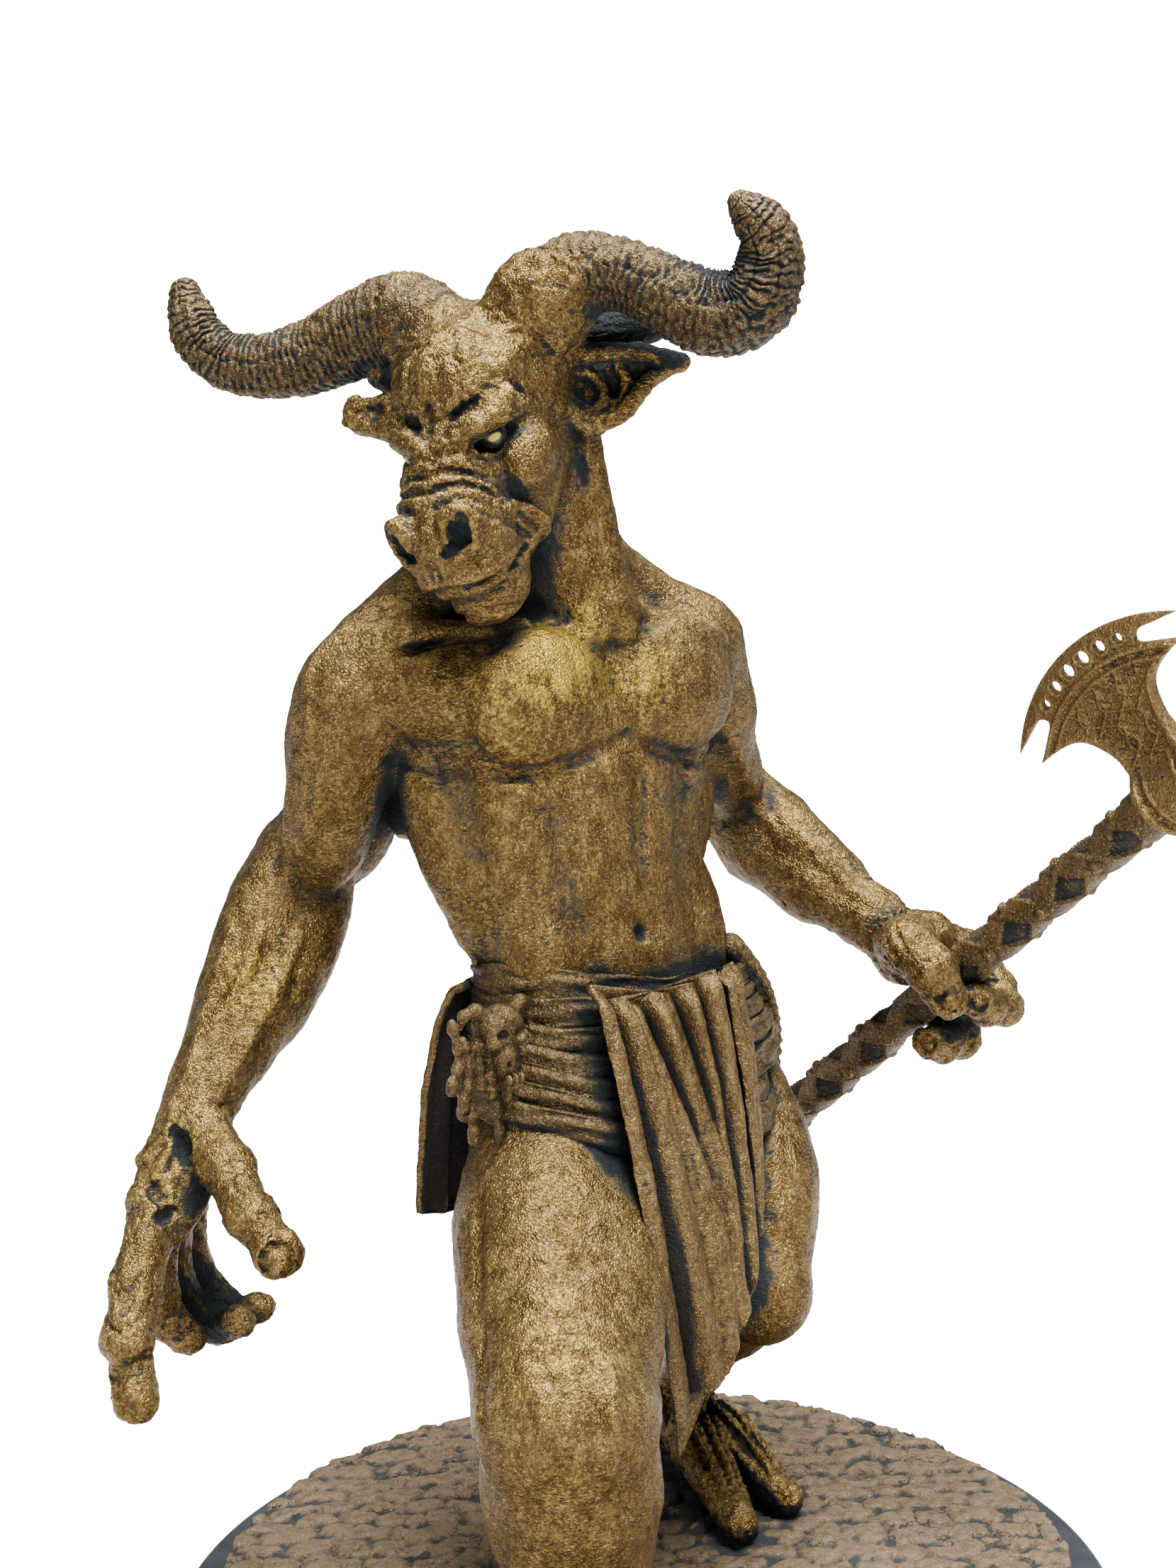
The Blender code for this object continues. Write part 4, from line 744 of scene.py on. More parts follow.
def flatten(level, side):
    """Adds everything under a level, or takes it away."""
    z = clay.low[2] + np.arange(clay.far.shape[2]) * clay.cell
    clay.far[:] = np.minimum(clay.far, z - level) if side > 0 else np.maximum(clay.far, level - z)


def figure_clay():
    """The trunk, neck, arms and legs of the figure, for any field."""
    for build in (trunk, neck, right_arm, left_arm, right_leg, left_leg):
        build()


def mesh_from(name, points, *faces):
    """Smooth mesh from points in units and arrays of faces, each array with its own number of sides."""
    corners = np.concatenate([part.ravel() for part in faces])
    sides = np.concatenate([np.full(len(part), part.shape[1]) for part in faces])
    mesh = bpy.data.meshes.new(name)
    mesh.vertices.add(len(points))
    mesh.vertices.foreach_set("co", (np.asarray(points) * UNIT).astype(np.float32).ravel())
    mesh.loops.add(len(corners))
    mesh.loops.foreach_set("vertex_index", corners.astype(np.int32))
    mesh.polygons.add(len(sides))
    mesh.polygons.foreach_set("loop_start", (np.cumsum(sides) - sides).astype(np.int32))
    mesh.update(calc_edges=True)
    mesh.shade_smooth()
    return mesh


def show(name, data):
    """The mesh, the lamp or the camera as an object of the scene."""
    piece = bpy.data.objects.new(name, data)
    bpy.context.scene.collection.objects.link(piece)
    return piece


def read(items, name, width=3, kind=np.float32):
    """One property of all of a mesh's vertices, edges or faces, a row of numbers for each."""
    values = np.empty(len(items) * width, kind)
    items.foreach_get(name, values)
    return values.reshape(-1, width)


def store(piece, name, values):
    """Keeps one number for every vertex in the piece's attribute of that name."""
    attributes = piece.data.attributes
    layer = attributes[name] if name in attributes else attributes.new(name, "FLOAT", "POINT")
    layer.data.foreach_set("value", np.ascontiguousarray(values, np.float32))


def skin_of(piece):
    """The places of a piece's vertices in units, and their normals."""
    mesh = piece.data
    places = read(mesh.vertices, "co").astype(float) / UNIT
    return places, read(mesh.vertex_normals, "vector").astype(float)


def outward(mesh):
    """The mesh with its faces turned out, judged by the sign of its volume."""
    mesh.calc_loop_triangles()
    points = read(mesh.vertices, "co").astype(float)
    a, b, c = points[read(mesh.loop_triangles, "vertices", kind=np.int32)].transpose(1, 0, 2)
    if np.einsum("ij,ij->i", a, np.cross(b, c)).sum() < 0:
        mesh.flip_normals()
    return mesh


def clay_piece(name, shape, most=195000, place=None):
    """The clay's skin as a piece, with at most so many triangles, turned to its place if one is given."""
    field = openvdb.FloatGrid(shape.band)
    field.copyFromArray(shape.far)
    points, _, quads = field.convertToPolygons(isovalue=0.0, adaptivity=0.0)
    points = points * shape.cell + shape.low
    if place is not None:
        points = place[0] + points @ place[1]
    piece = show(name, outward(mesh_from(name, points, quads)))
    if 2 * len(quads) > most:
        thin = piece.modifiers.new("thin", "DECIMATE")
        thin.ratio = most / (2 * len(quads))
        graph = bpy.context.evaluated_depsgraph_get()
        thinned = bpy.data.meshes.new_from_object(piece.evaluated_get(graph), depsgraph=graph)
        piece.modifiers.clear()
        piece.data = thinned
        thinned.shade_smooth()
    return piece


def displace(piece, push):
    """Moves every vertex along its normal by what push gives for the places."""
    places, normals = skin_of(piece)
    moved = (places + normals * push(places)[:, None]) * UNIT
    piece.data.vertices.foreach_set("co", moved.astype(np.float32).ravel())
    piece.data.update()
    return piece


def neighbour_mean(values, ends, counts):
    """The mean of the values at the far ends of the edges that meet at each vertex."""
    total = np.zeros_like(values)
    for side in (0, 1):
        for column in range(values.shape[1]):
            total[:, column] += np.bincount(ends[:, side], values[ends[:, 1 - side], column], len(values))
    return total / counts[:, None]


def shade_and_weather(piece, reach=0.4):
    """Stores how creased, how sheltered and how upturned the skin is at every vertex.

    The crease is the hollow curvature of the mesh, averaged over its neighbours, where the wash gathers. The
    shelter comes from the whole figure's rough clay: how much nearer than the step taken away from the skin
    the next surface lies. The paint darkens with it as painted shade, and the upturn lightens it as painted
    top light.
    """
    points, normals = skin_of(piece)
    ends = read(piece.data.edges, "vertices", 2, np.int32)
    counts = np.maximum(np.bincount(ends.ravel(), minlength=len(points)), 1)
    drift = neighbour_mean(points, ends, counts) - points
    bend = np.sum(drift * normals, axis=1, keepdims=True)
    span = np.linalg.norm(points[ends[:, 0]] - points[ends[:, 1]], axis=1)
    size = np.bincount(ends.ravel(), np.repeat(span**2, 2), len(points))[:, None] / counts[:, None]
    curve = 2 * bend / np.maximum(size, 1e-4)
    for _ in range(2):
        curve = (curve + neighbour_mean(curve, ends, counts)) / 2
    broad = curve
    for _ in range(8):
        broad = (broad + 2 * neighbour_mean(broad, ends, counts)) / 3
    crease = np.clip(1.2 * curve + 0.4 * broad, -1 / reach, 1 / reach)[:, 0] * reach
    shelter = 0
    for step, weight in ((2.5, 0.2), (5.0, 0.35), (8.5, 0.42)):
        shelter = shelter + weight * np.clip(1 - bulk.at(points + normals * step) / step, 0, 1)
    for name, values in (("crease", crease), ("shelter", shelter), ("upward", normals[:, 2])):
        store(piece, name, values)
    return piece


def near_spots(piece, spots):
    """The sum of soft bells round the spots at every vertex. A spot is a place, a reach and an amount."""
    places, _ = skin_of(piece)
    away = [(np.sum((places - np.array(spot)) ** 2, axis=1) / size**2, amount) for spot, size,
            amount in spots]
    return sum(amount * np.exp(-far) for far, amount in away)


def add_painted_shade(piece, spots):
    """Adds painted shade to a piece's shelter round each spot, or takes it away."""
    shelter = read(piece.data.attributes["shelter"].data, "value", 1)[:, 0]
    store(piece, "shelter", shelter + near_spots(piece, spots))


def node_in(tree, kind, **settings):
    """A new node with its properties and its inputs' constants, each given by name."""
    made = tree.nodes.new(kind)
    for key, value in settings.items():
        if hasattr(made, key):
            setattr(made, key, value)
        else:
            made.inputs[key.replace("_", " ")].default_value = value
    return made


def math_in(tree, operation, first, second, third=None):
    """The result of a Math node. Each input is a number or another node's output."""
    made = tree.nodes.new("ShaderNodeMath")
    made.operation = operation
    for socket, value in zip(made.inputs, (first, second, third)):
        if hasattr(value, "is_linked"):
            tree.links.new(value, socket)
        elif value is not None:
            socket.default_value = value
    return made.outputs[0]


def sum_in(tree, total, *terms):
    """The total so far plus each value times its weight."""
    for value, weight in terms:
        total = math_in(tree, "MULTIPLY_ADD", value, weight, total)
    return total


def mix_in(tree, factor, first, second):
    """The first colour where the factor is 0, the second where it is 1."""
    made = tree.nodes.new("ShaderNodeMix")
    made.data_type = "RGBA"
    for index, value in ((0, factor), (6, first), (7, second)):
        if hasattr(value, "is_linked"):
            tree.links.new(value, made.inputs[index])
        else:
            made.inputs[index].default_value = value
    return made.outputs[2]


def ramp_in(tree, value, low, high):
    """0 to 1 smoothly as the value goes from low to high."""
    made = tree.nodes.new("ShaderNodeMapRange")
    made.interpolation_type = "SMOOTHSTEP"
    tree.links.new(value, made.inputs[0])
    made.inputs[1].default_value = low
    made.inputs[2].default_value = high
    return made.outputs[0]


def noise_in(tree, place, size, detail=2.0, roughness=0.5):
    """Noise with features of about the given size in units."""
    made = node_in(tree, "ShaderNodeTexNoise", Scale=1 / (size * UNIT), Detail=detail, Roughness=roughness)
    tree.links.new(place, made.inputs["Vector"])
    return made.outputs["Fac"]


def attribute_in(tree, name):
    """A number that is stored at every vertex."""
    return node_in(tree, "ShaderNodeAttribute", attribute_name=name).outputs["Fac"]


def wash_and_shade_group():
    """Masks of every painted piece: wash and painted shade, dust and painted top light, tone, flecks,
    height.

    The wash lies where the skin is creased, along thin winding cracks and in short scars. Where the skin is
    sheltered, the same dark stands for painted shade. Soft noise frays its edge.
    """
    tree = bpy.data.node_groups.new("wash_and_painted_shade", "ShaderNodeTree")
    for name in ("WashAndShade", "DustAndTopLight", "Tone", "Flecks", "Height"):
        tree.interface.new_socket(name, in_out="OUTPUT", socket_type="NodeSocketFloat")
    out = tree.nodes.new("NodeGroupOutput")
    place = tree.nodes.new("ShaderNodeTexCoord").outputs["Object"]
    upright = node_in(tree, "ShaderNodeMapping", Scale=(1, 1, 0.45), Rotation=(0.5, 0.3, 0))
    level = node_in(tree, "ShaderNodeMapping", Scale=(0.55, 0.55, 1.7), Rotation=(0.2, 0.15, 0))
    for mapping in (upright, level):
        tree.links.new(place, mapping.inputs["Vector"])
    streaks = noise_in(tree, upright.outputs[0], 1.8, 3, 0.6)
    scratches = noise_in(tree, level.outputs[0], 1.5, 3, 0.6)
    winding = noise_in(tree, level.outputs[0], 2.6, 4, 0.62)
    grain = noise_in(tree, place, 0.7, 2, 0.6)
    fine = noise_in(tree, place, 0.32, 1)
    blots = noise_in(tree, place, 4.5, 3, 0.6)
    patch = noise_in(tree, place, 14.0, 2, 0.55)
    crease, shelter, upward = (attribute_in(tree, name) for name in ("crease", "shelter", "upward"))
    tone = sum_in(tree, 0.0, (streaks, 0.32), (grain, 0.34), (patch, 0.14), (blots, 0.20))
    jitter = sum_in(tree, -1.0, (streaks, 0.9), (blots, 1.1))
    scars = math_in(tree, "MULTIPLY", ramp_in(tree, scratches, 0.60, 0.72), ramp_in(tree, blots, 0.46, 0.60))
    middle_line = math_in(tree, "ABSOLUTE", math_in(tree, "SUBTRACT", winding, 0.5), 0)
    crack_line = ramp_in(tree, middle_line, 0.022, 0.004)
    cracks = math_in(tree, "MULTIPLY", crack_line, ramp_in(tree, patch, 0.44, 0.58))
    # Dark of the wash in creases, cracks and scars, and painted shade where the skin is sheltered.
    dark = sum_in(tree, 0.0, (shelter, 1.15), (crease, 0.55), (cracks, 0.42), (scars, 0.5), (jitter, 0.8))
    # Paler where the skin faces up: dust, and painted top light.
    dust_and_top_light = math_in(tree, "MULTIPLY", ramp_in(tree, upward, 0.1, 1.0), ramp_in(tree, streaks, 0.36, 0.66))
    results = {
        "WashAndShade": ramp_in(tree, dark, 0.20, 0.70),
        "DustAndTopLight": dust_and_top_light,
        "Tone": tone,
        "Flecks": ramp_in(tree, fine, 0.60, 0.72),
        "Height": sum_in(tree, fine, (streaks, 0.5), (grain, 0.9), (cracks, -0.6)),
    }
    for name, value in results.items():
        tree.links.new(value, out.inputs[name])
    return tree


def new_material(name):
    """A new material, its node tree and its surface shader."""
    made = bpy.data.materials.new(name)
    made.use_nodes = True
    return made, made.node_tree, made.node_tree.nodes["Principled BSDF"]


wash = wash_and_shade_group()
# Dark teal of the wash, which also stands for painted shade where the skin is sheltered.
TEAL = (0.004, 0.008, 0.010)
FLECK = (0.80, 0.60, 0.26, 1)


def paint(name, deep, middle, bright, dust_and_top_light_colour, dark, metal, rough, grain=0.3, gold_and_highlight=None):
    """Brushed paint from a deep to a bright tone, paler where it faces up with dust and painted top light,
    with the wash in its hollows and painted shade where it is sheltered.
    """
    made, tree, surface = new_material(name)
    masks = tree.nodes.new("ShaderNodeGroup")
    masks.node_tree = wash
    crease, upward = attribute_in(tree, "crease"), attribute_in(tree, "upward")
    # The tone sinks in creases with the wash and rises where the skin faces up, as painted top light.
    tone = sum_in(tree, masks.outputs["Tone"], (crease, -0.12), (upward, 0.05))
    colour = mix_in(tree, ramp_in(tree, tone, 0.27, 0.53), (*deep, 1), (*middle, 1))
    colour = mix_in(tree, ramp_in(tree, tone, 0.44, 0.72), colour, (*bright, 1))
    # Paler paint where it faces up: dust, and painted top light.
    colour = mix_in(tree, math_in(tree, "MULTIPLY", masks.outputs["DustAndTopLight"], 0.40), colour, (*dust_and_top_light_colour, 1))
    if gold_and_highlight:
        # Gold on the brightest brushwork, and as painted highlights round the highlight spots.
        gold = sum_in(tree, -1.85, (attribute_in(tree, "painted_highlight"), 1.0), (tone, 3.6))
        gold = math_in(tree, "MULTIPLY", ramp_in(tree, gold, 0.2, 1.15), 0.85)
        colour = mix_in(tree, gold, colour, (*gold_and_highlight, 1))
    colour = mix_in(tree, math_in(tree, "MULTIPLY", masks.outputs["Flecks"], 0.36), colour, FLECK)
    # The dark of the wash, and painted shade where the skin is sheltered.
    colour = mix_in(tree, masks.outputs["WashAndShade"], colour, (*dark, 1))
    bump = node_in(tree, "ShaderNodeBump", Strength=1.0, Distance=grain * UNIT)
    tree.links.new(masks.outputs["Height"], bump.inputs["Height"])
    looks = {
        "Base Color": colour,
        "Metallic": sum_in(tree, metal, (masks.outputs["WashAndShade"], -0.8 * metal)),
        "Roughness": sum_in(tree, rough, (masks.outputs["WashAndShade"], 0.40)),
        "Normal": bump.outputs["Normal"],
    }
    for socket, value in looks.items():
        tree.links.new(value, surface.inputs[socket])
    return made


def painted(piece, material, reach=0.4):
    """The piece with its paint on, and its marks for the wash, painted shade and painted top light stored.
    """
    piece.data.materials.append(material)
    return shade_and_weather(piece, reach)


bronze = paint("bronze_paint", (0.042, 0.022, 0.007), (0.125, 0.072, 0.020), (0.39, 0.255, 0.078),
               (0.40, 0.285, 0.105), TEAL, 0.88, 0.34, gold_and_highlight=(0.70, 0.48, 0.06))

grain = 1.0
bulk = clay = Clay((-92, -66, 16), (92, 64, 246), 1.6, 9.0)
for build in (figure_clay, right_hand, left_hand, face, ears, waist_wraps, front_cloth, rear_cloth):
    build()
chain(LEFT_HORN, LEFT_HORN_RADII, smooth=2)
chain(RIGHT_HORN, RIGHT_HORN_RADII, smooth=2)
flatten(GROUND_TOP, 1)

# Each skin: its box, its cell, its most triangles, what is pressed into it and how its surface is roughened.
skin_plans = (
    ("body_skin", (-79, -64, 36), (56, 62, 190), 0.6, 110000, (figure_clay, body_details), creases),
    ("head_skin", (-50, -54, 175), (24, 30, 236), 0.36, 120000,
     (neck, face, ears, face_details, ear_details), head_creases),
    ("right_hand_skin", (-86, -44, 58), (-48, 6, 106), 0.36, 42000,
     (right_arm, right_hand, right_hand_details), hand_creases),
    ("left_hand_skin", (34, -8, 90), (80, 46, 133), 0.38, 42000,
     (left_arm, left_hand, left_hand_details), hand_creases),
    ("feet_skin", (-26, -70, 17), (34, 52, 40), 0.42, 52000, (right_leg, left_leg, feet_details),
     foot_creases),
)
# Spots of painted highlight on the skins: a place, a reach and an amount.
painted_highlight_spots = (
    ((-8, -11, 176), 9, 0.9), ((-16, -15, 165), 13, 0.4), ((6, -3, 169), 7, 0.6), ((-60, -8, 122), 8, 0.5),
    ((-13, -54, 82), 12, 0.5), ((-8, -12, 140), 8, 0.35), ((-70, -18, 96), 8, 0.4), ((-12, -52, 58), 6, 0.6),
)
# Spots of painted shade on the skins, added where the amount is above zero and taken away below it.
painted_shade_spots = (
    ((-67, -4, 67), 11, 0.4), ((-72, -20, 86), 20, 0.08), ((-67, -20, 95), 6, -0.2),
    ((-20, -12, 178), 9, -0.35), ((-31, -10, 176), 7, -0.25), ((-13, -12, 156.5), 9, -0.22),
    ((38, 31, 128), 10, 0.16), ((-11, -52, 24), 15, 0.04), ((15, 22, 26), 17, 0.04),
)
HOLE_RADIUS = 3.7
skins = []
for name, low, high, cell, most, builders, push in skin_plans:
    clay = Clay(low, high, cell * grain)
    for build in builders:
        build()
    if name == "left_hand_skin":
        limb(SHAFT_FOOT - 30 * SHAFT, SHAFT_TOP, HOLE_RADIUS, HOLE_RADIUS, 0.3, True)
    if name == "feet_skin":
        flatten(GROUND_TOP + 0.3, -1)
    skin = painted(displace(clay_piece(name, clay, most), push), bronze,
                   0.25 if name == "body_skin" else 0.4)
    store(skin, "painted_highlight", near_spots(skin, painted_highlight_spots))
    add_painted_shade(skin, painted_shade_spots)
    skins.append(skin)


# Eyes: two balls of the same casting, each picked out by hand with a dab of pale yellow on a dark ground.
# They sit in the slits under the brow.


def tube_piece(name, rings):
    """Closed skin over rings of points, one row for each ring, where each end closes to a point."""
    rows, columns = rings.shape[:2]
    around = np.arange(columns)
    after = (around + 1) % columns
    row = np.arange(rows - 1)[:, None] * columns
    corners = [row + around, row + after, row + columns + after, row + columns + around]
    quads = np.stack(corners, -1).reshape(-1, 4)
    points = np.vstack([rings.reshape(-1, 3), rings[0].mean(0), rings[-1].mean(0)])
    start, end = np.full(columns, rows * columns), np.full(columns, rows * columns + 1)
    last = (rows - 1) * columns
    fans = ([start, after, around], [end, last + around, last + after])
    ends = np.vstack([np.stack(fan, -1) for fan in fans])
    return show(name, outward(mesh_from(name, points, quads, ends)))


def full_turn(count):
    """Evenly spaced angles that go once about a circle, in radians, without the first one again."""
    return np.linspace(0, tau, count, endpoint=False)


PALE = (0.55, 0.39, 0.035)
eye_paint, eye_tree, eye_surface = new_material("eye_paint")
dab = ramp_in(eye_tree, attribute_in(eye_tree, "dab"), 0.35, 0.6)
eye_tree.links.new(mix_in(eye_tree, dab, (*TEAL, 1), (*PALE, 1)), eye_surface.inputs["Base Color"])
eye_surface.inputs["Roughness"].default_value = 0.3

EYE_RADIUS = 2.35
latitude = np.linspace(0.02, pi - 0.02, 24)[:, None]
longitude = full_turn(40)[None, :]
ball = (np.sin(latitude) * np.cos(longitude), np.sin(latitude) * np.sin(longitude),
        np.cos(latitude) + 0 * longitude)
eyes = []
for side in (-1, 1):
    eye = tube_piece("eye", np.stack(ball, -1) * EYE_RADIUS + head(side * 7.1, 13.9, -2.7))
    places, _ = skin_of(eye)
    across, along, up = ((places - head(side * 8.6, 15.7, -2.5)) @ np.array(HEAD_AXES).T).T
    store(eye, "dab", bell(across, 1.15) * bell(along, 1.3) * bell(up, 0.65))
    eye.data.materials.append(eye_paint)
    eyes.append(eye)


# Horns: part of the casting, ringed and cracked like a ram's, with a keel along the upper front edge. They
# grow out of the skull, where the hide of the head swells round their roots.

horn_bronze = paint("horn_paint", (0.024, 0.014, 0.006), (0.070, 0.042, 0.015), (0.21, 0.136, 0.050),
                    (0.30, 0.22, 0.10), TEAL, 0.7, 0.42)


def frames_along(path):
    """Two directions across a path at each of its points, turning as little as they can."""
    step = np.gradient(path, axis=0)
    step = step / np.linalg.norm(step, axis=1, keepdims=True)
    side = np.cross(step[0], (0, 0, 1.0))
    sides = []
    for direction in step:
        side = unit(side - (side @ direction) * direction)
        sides.append(side)
    sides = np.array(sides)
    return sides, np.cross(step, sides)


def horn_skin(name, line, thick, seed, keel, steps):
    """Rings of a horn, its radius shaped by a squarish section, growth rings, long cracks and small knobs.

    Each growth ring is a rounded bar between two sharp valleys, its edge wavering with soft noise. The
    valleys are deep on the lower side, and shallow on the band above the keel.
    """
    line = [*line, 1.9 * np.array(line[-1]) - 0.9 * np.array(line[-2])]
    path = spline(line, steps)
    radius = spline([[r] for r in (*thick, thick[-1] * 0.9)], steps)[:, 0]
    side, up = frames_along(path)
    length = np.concatenate([[0], np.cumsum(np.linalg.norm(np.diff(path, axis=0), axis=1))])
    tip = np.clip((length - length[-1] + 2.2) / 2.2, 0, 0.985)
    radius = radius * np.sqrt(1 - tip**2)
    columns = 92
    turn = full_turn(columns)
    direction = side[:, None] * np.cos(turn)[None, :, None] + up[:, None] * np.sin(turn)[None, :, None]
    points = path[:, None] + direction * radius[:, None, None]
    noise, small = ripple(points, 3.4, seed), ripple(points, 1.3, seed + 1)
    away = (turn[None, :] - keel + pi) % tau - pi
    band = bell(away - 0.55, 0.5)
    square = 0.13 * bell(away, 0.24) + 0.07 * bell(away - 1.3, 0.3) - 0.07 * bell(away + 0.8, 0.5) - 0.05
    phase = length[:, None] / 1.35 + 0.26 * noise + 0.12 * small + 0.15 * np.sin(2 * turn + seed)[None, :]
    bars = np.abs(np.sin(pi * phase)) ** 0.6
    depth = (0.72 - 0.46 * band) * (0.55 + 0.45 * smooth_step(-0.8, 0.6, ripple(points, 5, seed + 2)))
    cracks = sum(bell(away - at - 0.07 * noise, 0.05) for at in (-2.3, -1.5, -0.55, 0.12, 0.95, 1.5, 2.4))
    fade = np.clip(radius / 5.0, 0.15, 1)[:, None]
    push = (bars - 0.75) * depth * fade + radius[:, None] * square - 0.36 * cracks * fade
    push = push + 0.16 * noise * fade + 0.08 * small * fade
    return painted(tube_piece(name, points + direction * push[:, :, None]), horn_bronze)


horn_steps = 30
left_horn = horn_skin("left_horn", LEFT_HORN, LEFT_HORN_RADII, 21, 2.2, horn_steps)
right_horn = horn_skin("right_horn", RIGHT_HORN, RIGHT_HORN_RADII, 31, 0.8, horn_steps)


# Loincloth: modelled and cast with the figure, as stiffened cloth that hangs in pleats from the turns
# about the hips. The turns are wound one over the other round a plain core.

cloth_bronze = paint("cloth_paint", (0.040, 0.023, 0.008), (0.110, 0.066, 0.022), (0.28, 0.185, 0.066),
                     (0.32, 0.24, 0.11), (0.013, 0.010, 0.008), 0.75, 0.42)


def normals_of(grid):
    """Unit normals of an open grid of points from the steps along its two directions."""
    normal = np.cross(np.gradient(grid, axis=0), np.gradient(grid, axis=1))
    return normal / np.maximum(np.linalg.norm(normal, axis=2, keepdims=True), 1e-9)


def cloth_piece(name, middle, thick):
    """A sheet with two sides and closed edges around a grid of middle points."""
    side = normals_of(middle) * thick / 2
    return tube_piece(name, np.concatenate([middle + side, (middle - side)[:, ::-1]], axis=1))


def ring_piece(name, rings):
    """Closed skin over rings that meet end to end."""
    rows, columns = rings.shape[:2]
    index = np.arange(rows * columns).reshape(rows, columns)
    beside, beyond = np.roll(index, -1, 1), np.roll(index, -1, 0)
    quads = np.stack([index, beside, np.roll(beside, -1, 0), beyond], -1).reshape(-1, 4)
    return show(name, outward(mesh_from(name, rings.reshape(-1, 3), quads)))


def fall(name, rows, folds, thick, columns, lines, seed, hem=None):
    """A hanging cloth from its belt to its hem.

    rows(t) gives the middle line of the cloth at t across it, from the belt down. Each fold is a place
    across, a half width and a height, all three given at the belt and at the hem, and how far down it
    reaches: the cloth rises there, or sinks where the height is negative, along a bell curve that starts
    just under the belt.
    """
    across = np.linspace(0, 1, columns)
    down = np.linspace(0, 1, lines)
    sheet = []
    for t in across:
        line = spline(rows(t), 24)
        at = down * (hem(t) if hem else 1.0) * (len(line) - 1)
        low = np.minimum(at.astype(int), len(line) - 2)
        sheet.append(line[low] + (line[low + 1] - line[low]) * (at - low)[:, None])
    sheet = np.array(sheet).transpose(1, 0, 2)
    normal = normals_of(sheet)
    outside = sheet[lines // 3, columns // 2] - np.array((-1.0, 6.0, 100.0))
    if normal[lines // 3, columns // 2] @ outside < 0:
        normal = -normal
    v, u = down[:, None], across[None, :]
    rise = 0
    for place, wide, high, reach in folds:
        middle, width, height = (a + (b - a) * v for a, b in (place, wide, high))
        away = (u - middle - 0.012 * np.sin(5 * v + 9 * place[0])) / width
        fade = smooth_step(-0.03, 0.07, v) * smooth_step(reach, 0.5 * reach, v)
        rise = rise + height * fade * np.exp(-np.abs(away) ** (1.6 if high[0] < 0 else 2.4))
    small = ripple(sheet * (1, 1, 0.3), 3.4, seed)
    fine = ripple(sheet * (1, 1, 0.6), 1.1, seed + 1)
    tuck = 1.4 * (1 - smooth_step(0, 0.05, v))
    middle = sheet + normal * (1.9 + rise + 0.16 * small + 0.08 * fine - tuck)[:, :, None]
    return painted(cloth_piece(name, middle, thick), cloth_bronze)


def front_rows(t):
    """Middle lines of the front fall: from the belt over the thigh to a slanting hem."""
    return [(-6.5 + 20.5 * t, -17.6 + 9.6 * t, 122.4 - 3.4 * sin(pi * t**0.8)),
            (-1.8 + 18.6 * t, -23.5 + 14.5 * t, 98.0), (1.6 + 16.2 * t, -28 + 13.5 * t, 76.0),
            (4.2 + 13.4 * t, -27 + 11 * t, 49 + 20.5 * t**1.3)]


def side_rows(t):
    """Middle lines of the short fall beside it, on the left thigh."""
    return [(14.2 + 2.6 * t, -6.4 + 6 * t, 120.6 + t), (16.8 + 2.6 * t, -8.4 + 6 * t, 100),
            (17.8 + 1.6 * t, -9.8 + 5 * t, 78 + 6 * t)]


def rear_rows(t):
    """Middle lines of the rear fall: round the back of the hips, flaring towards the hem."""
    left = -30 + 49 * t
    front = 2 - 16.5 * cos((t - 0.5) * 2.1)
    flare = 0.12 * (1 - t) ** 3
    return [torso(left * 0.80, front * 0.95, 120), torso(left * (0.93 + 0.6 * flare), front - 1.2, 111),
            torso(left * (1.04 + 0.6 * flare), front - 2.6, 98),
            torso(left * 1.12, front - 4.5, 82.0 - 4 * sin(pi * t))]


def front_hem(t):
    """How far down each fold reaches: the left one to a long point, the wide one to a turned corner."""
    reach = [1.0, 0.985, 0.93, 0.93, 0.97, 1.0, 0.95, 0.86, 0.8]
    return float(np.interp(t, [0, 0.05, 0.16, 0.22, 0.5, 0.62, 0.8, 0.9, 1], reach))


coarse = 1
LONG = 9.0
front_folds = (
    ((0.05, 0.06), (0.06, 0.08), (1.3, 1.2), LONG),
    ((0.14, 0.28), (0.032, 0.045), (-3.6, -3.0), LONG),
    ((0.24, 0.46), (0.07, 0.11), (1.2, 1.5), LONG),
    ((0.32, 0.62), (0.022, 0.02), (-1.6, -0.6), 0.8),
    ((0.42, 0.95), (0.045, 0.05), (-3.4, -3.4), 0.62),
    ((0.52, 0.70), (0.06, 0.12), (1.2, 1.3), LONG),
    ((0.66, 0.98), (0.035, 0.04), (-3.0, -3.0), 0.55),
    ((0.75, 0.86), (0.05, 0.06), (1.0, 1.4), LONG),
    ((0.83, 0.95), (0.028, 0.03), (-3.0, -1.8), LONG),
    ((0.92, 1.0), (0.05, 0.05), (1.0, 1.0), LONG),
)
front_fall = fall("front_cloth", front_rows, front_folds, 1.1, 134 // coarse, 150 // coarse, 41, front_hem)
side_folds = (
    ((0.12, 0.1), (0.1, 0.1), (1.0, 1.4), LONG),
    ((0.3, 0.35), (0.07, 0.08), (-1.6, -1.8), LONG),
    ((0.55, 0.6), (0.1, 0.1), (0.8, 0.6), LONG),
    ((0.78, 0.85), (0.06, 0.06), (-1.2, -1.2), LONG),
)
side_fall = fall("side_cloth", side_rows, side_folds, 1.1, 44 // coarse, 90 // coarse, 43)
rear_folds = []
for i in range(1, 11):
    depth = 0.8 * sin(4.1 * i)
    place = (i / 11 + 0.012 * sin(5 * i), i / 11 + 0.02 * sin(3 * i))
    rear_folds.append((place, (0.024, 0.03 + 0.01 * sin(2 * i)), (-1.6 - depth, -2.4 - depth), LONG))
rear_fall = fall("rear_cloth", rear_rows, rear_folds, 1.3, 170 // coarse, 80 // coarse, 45)


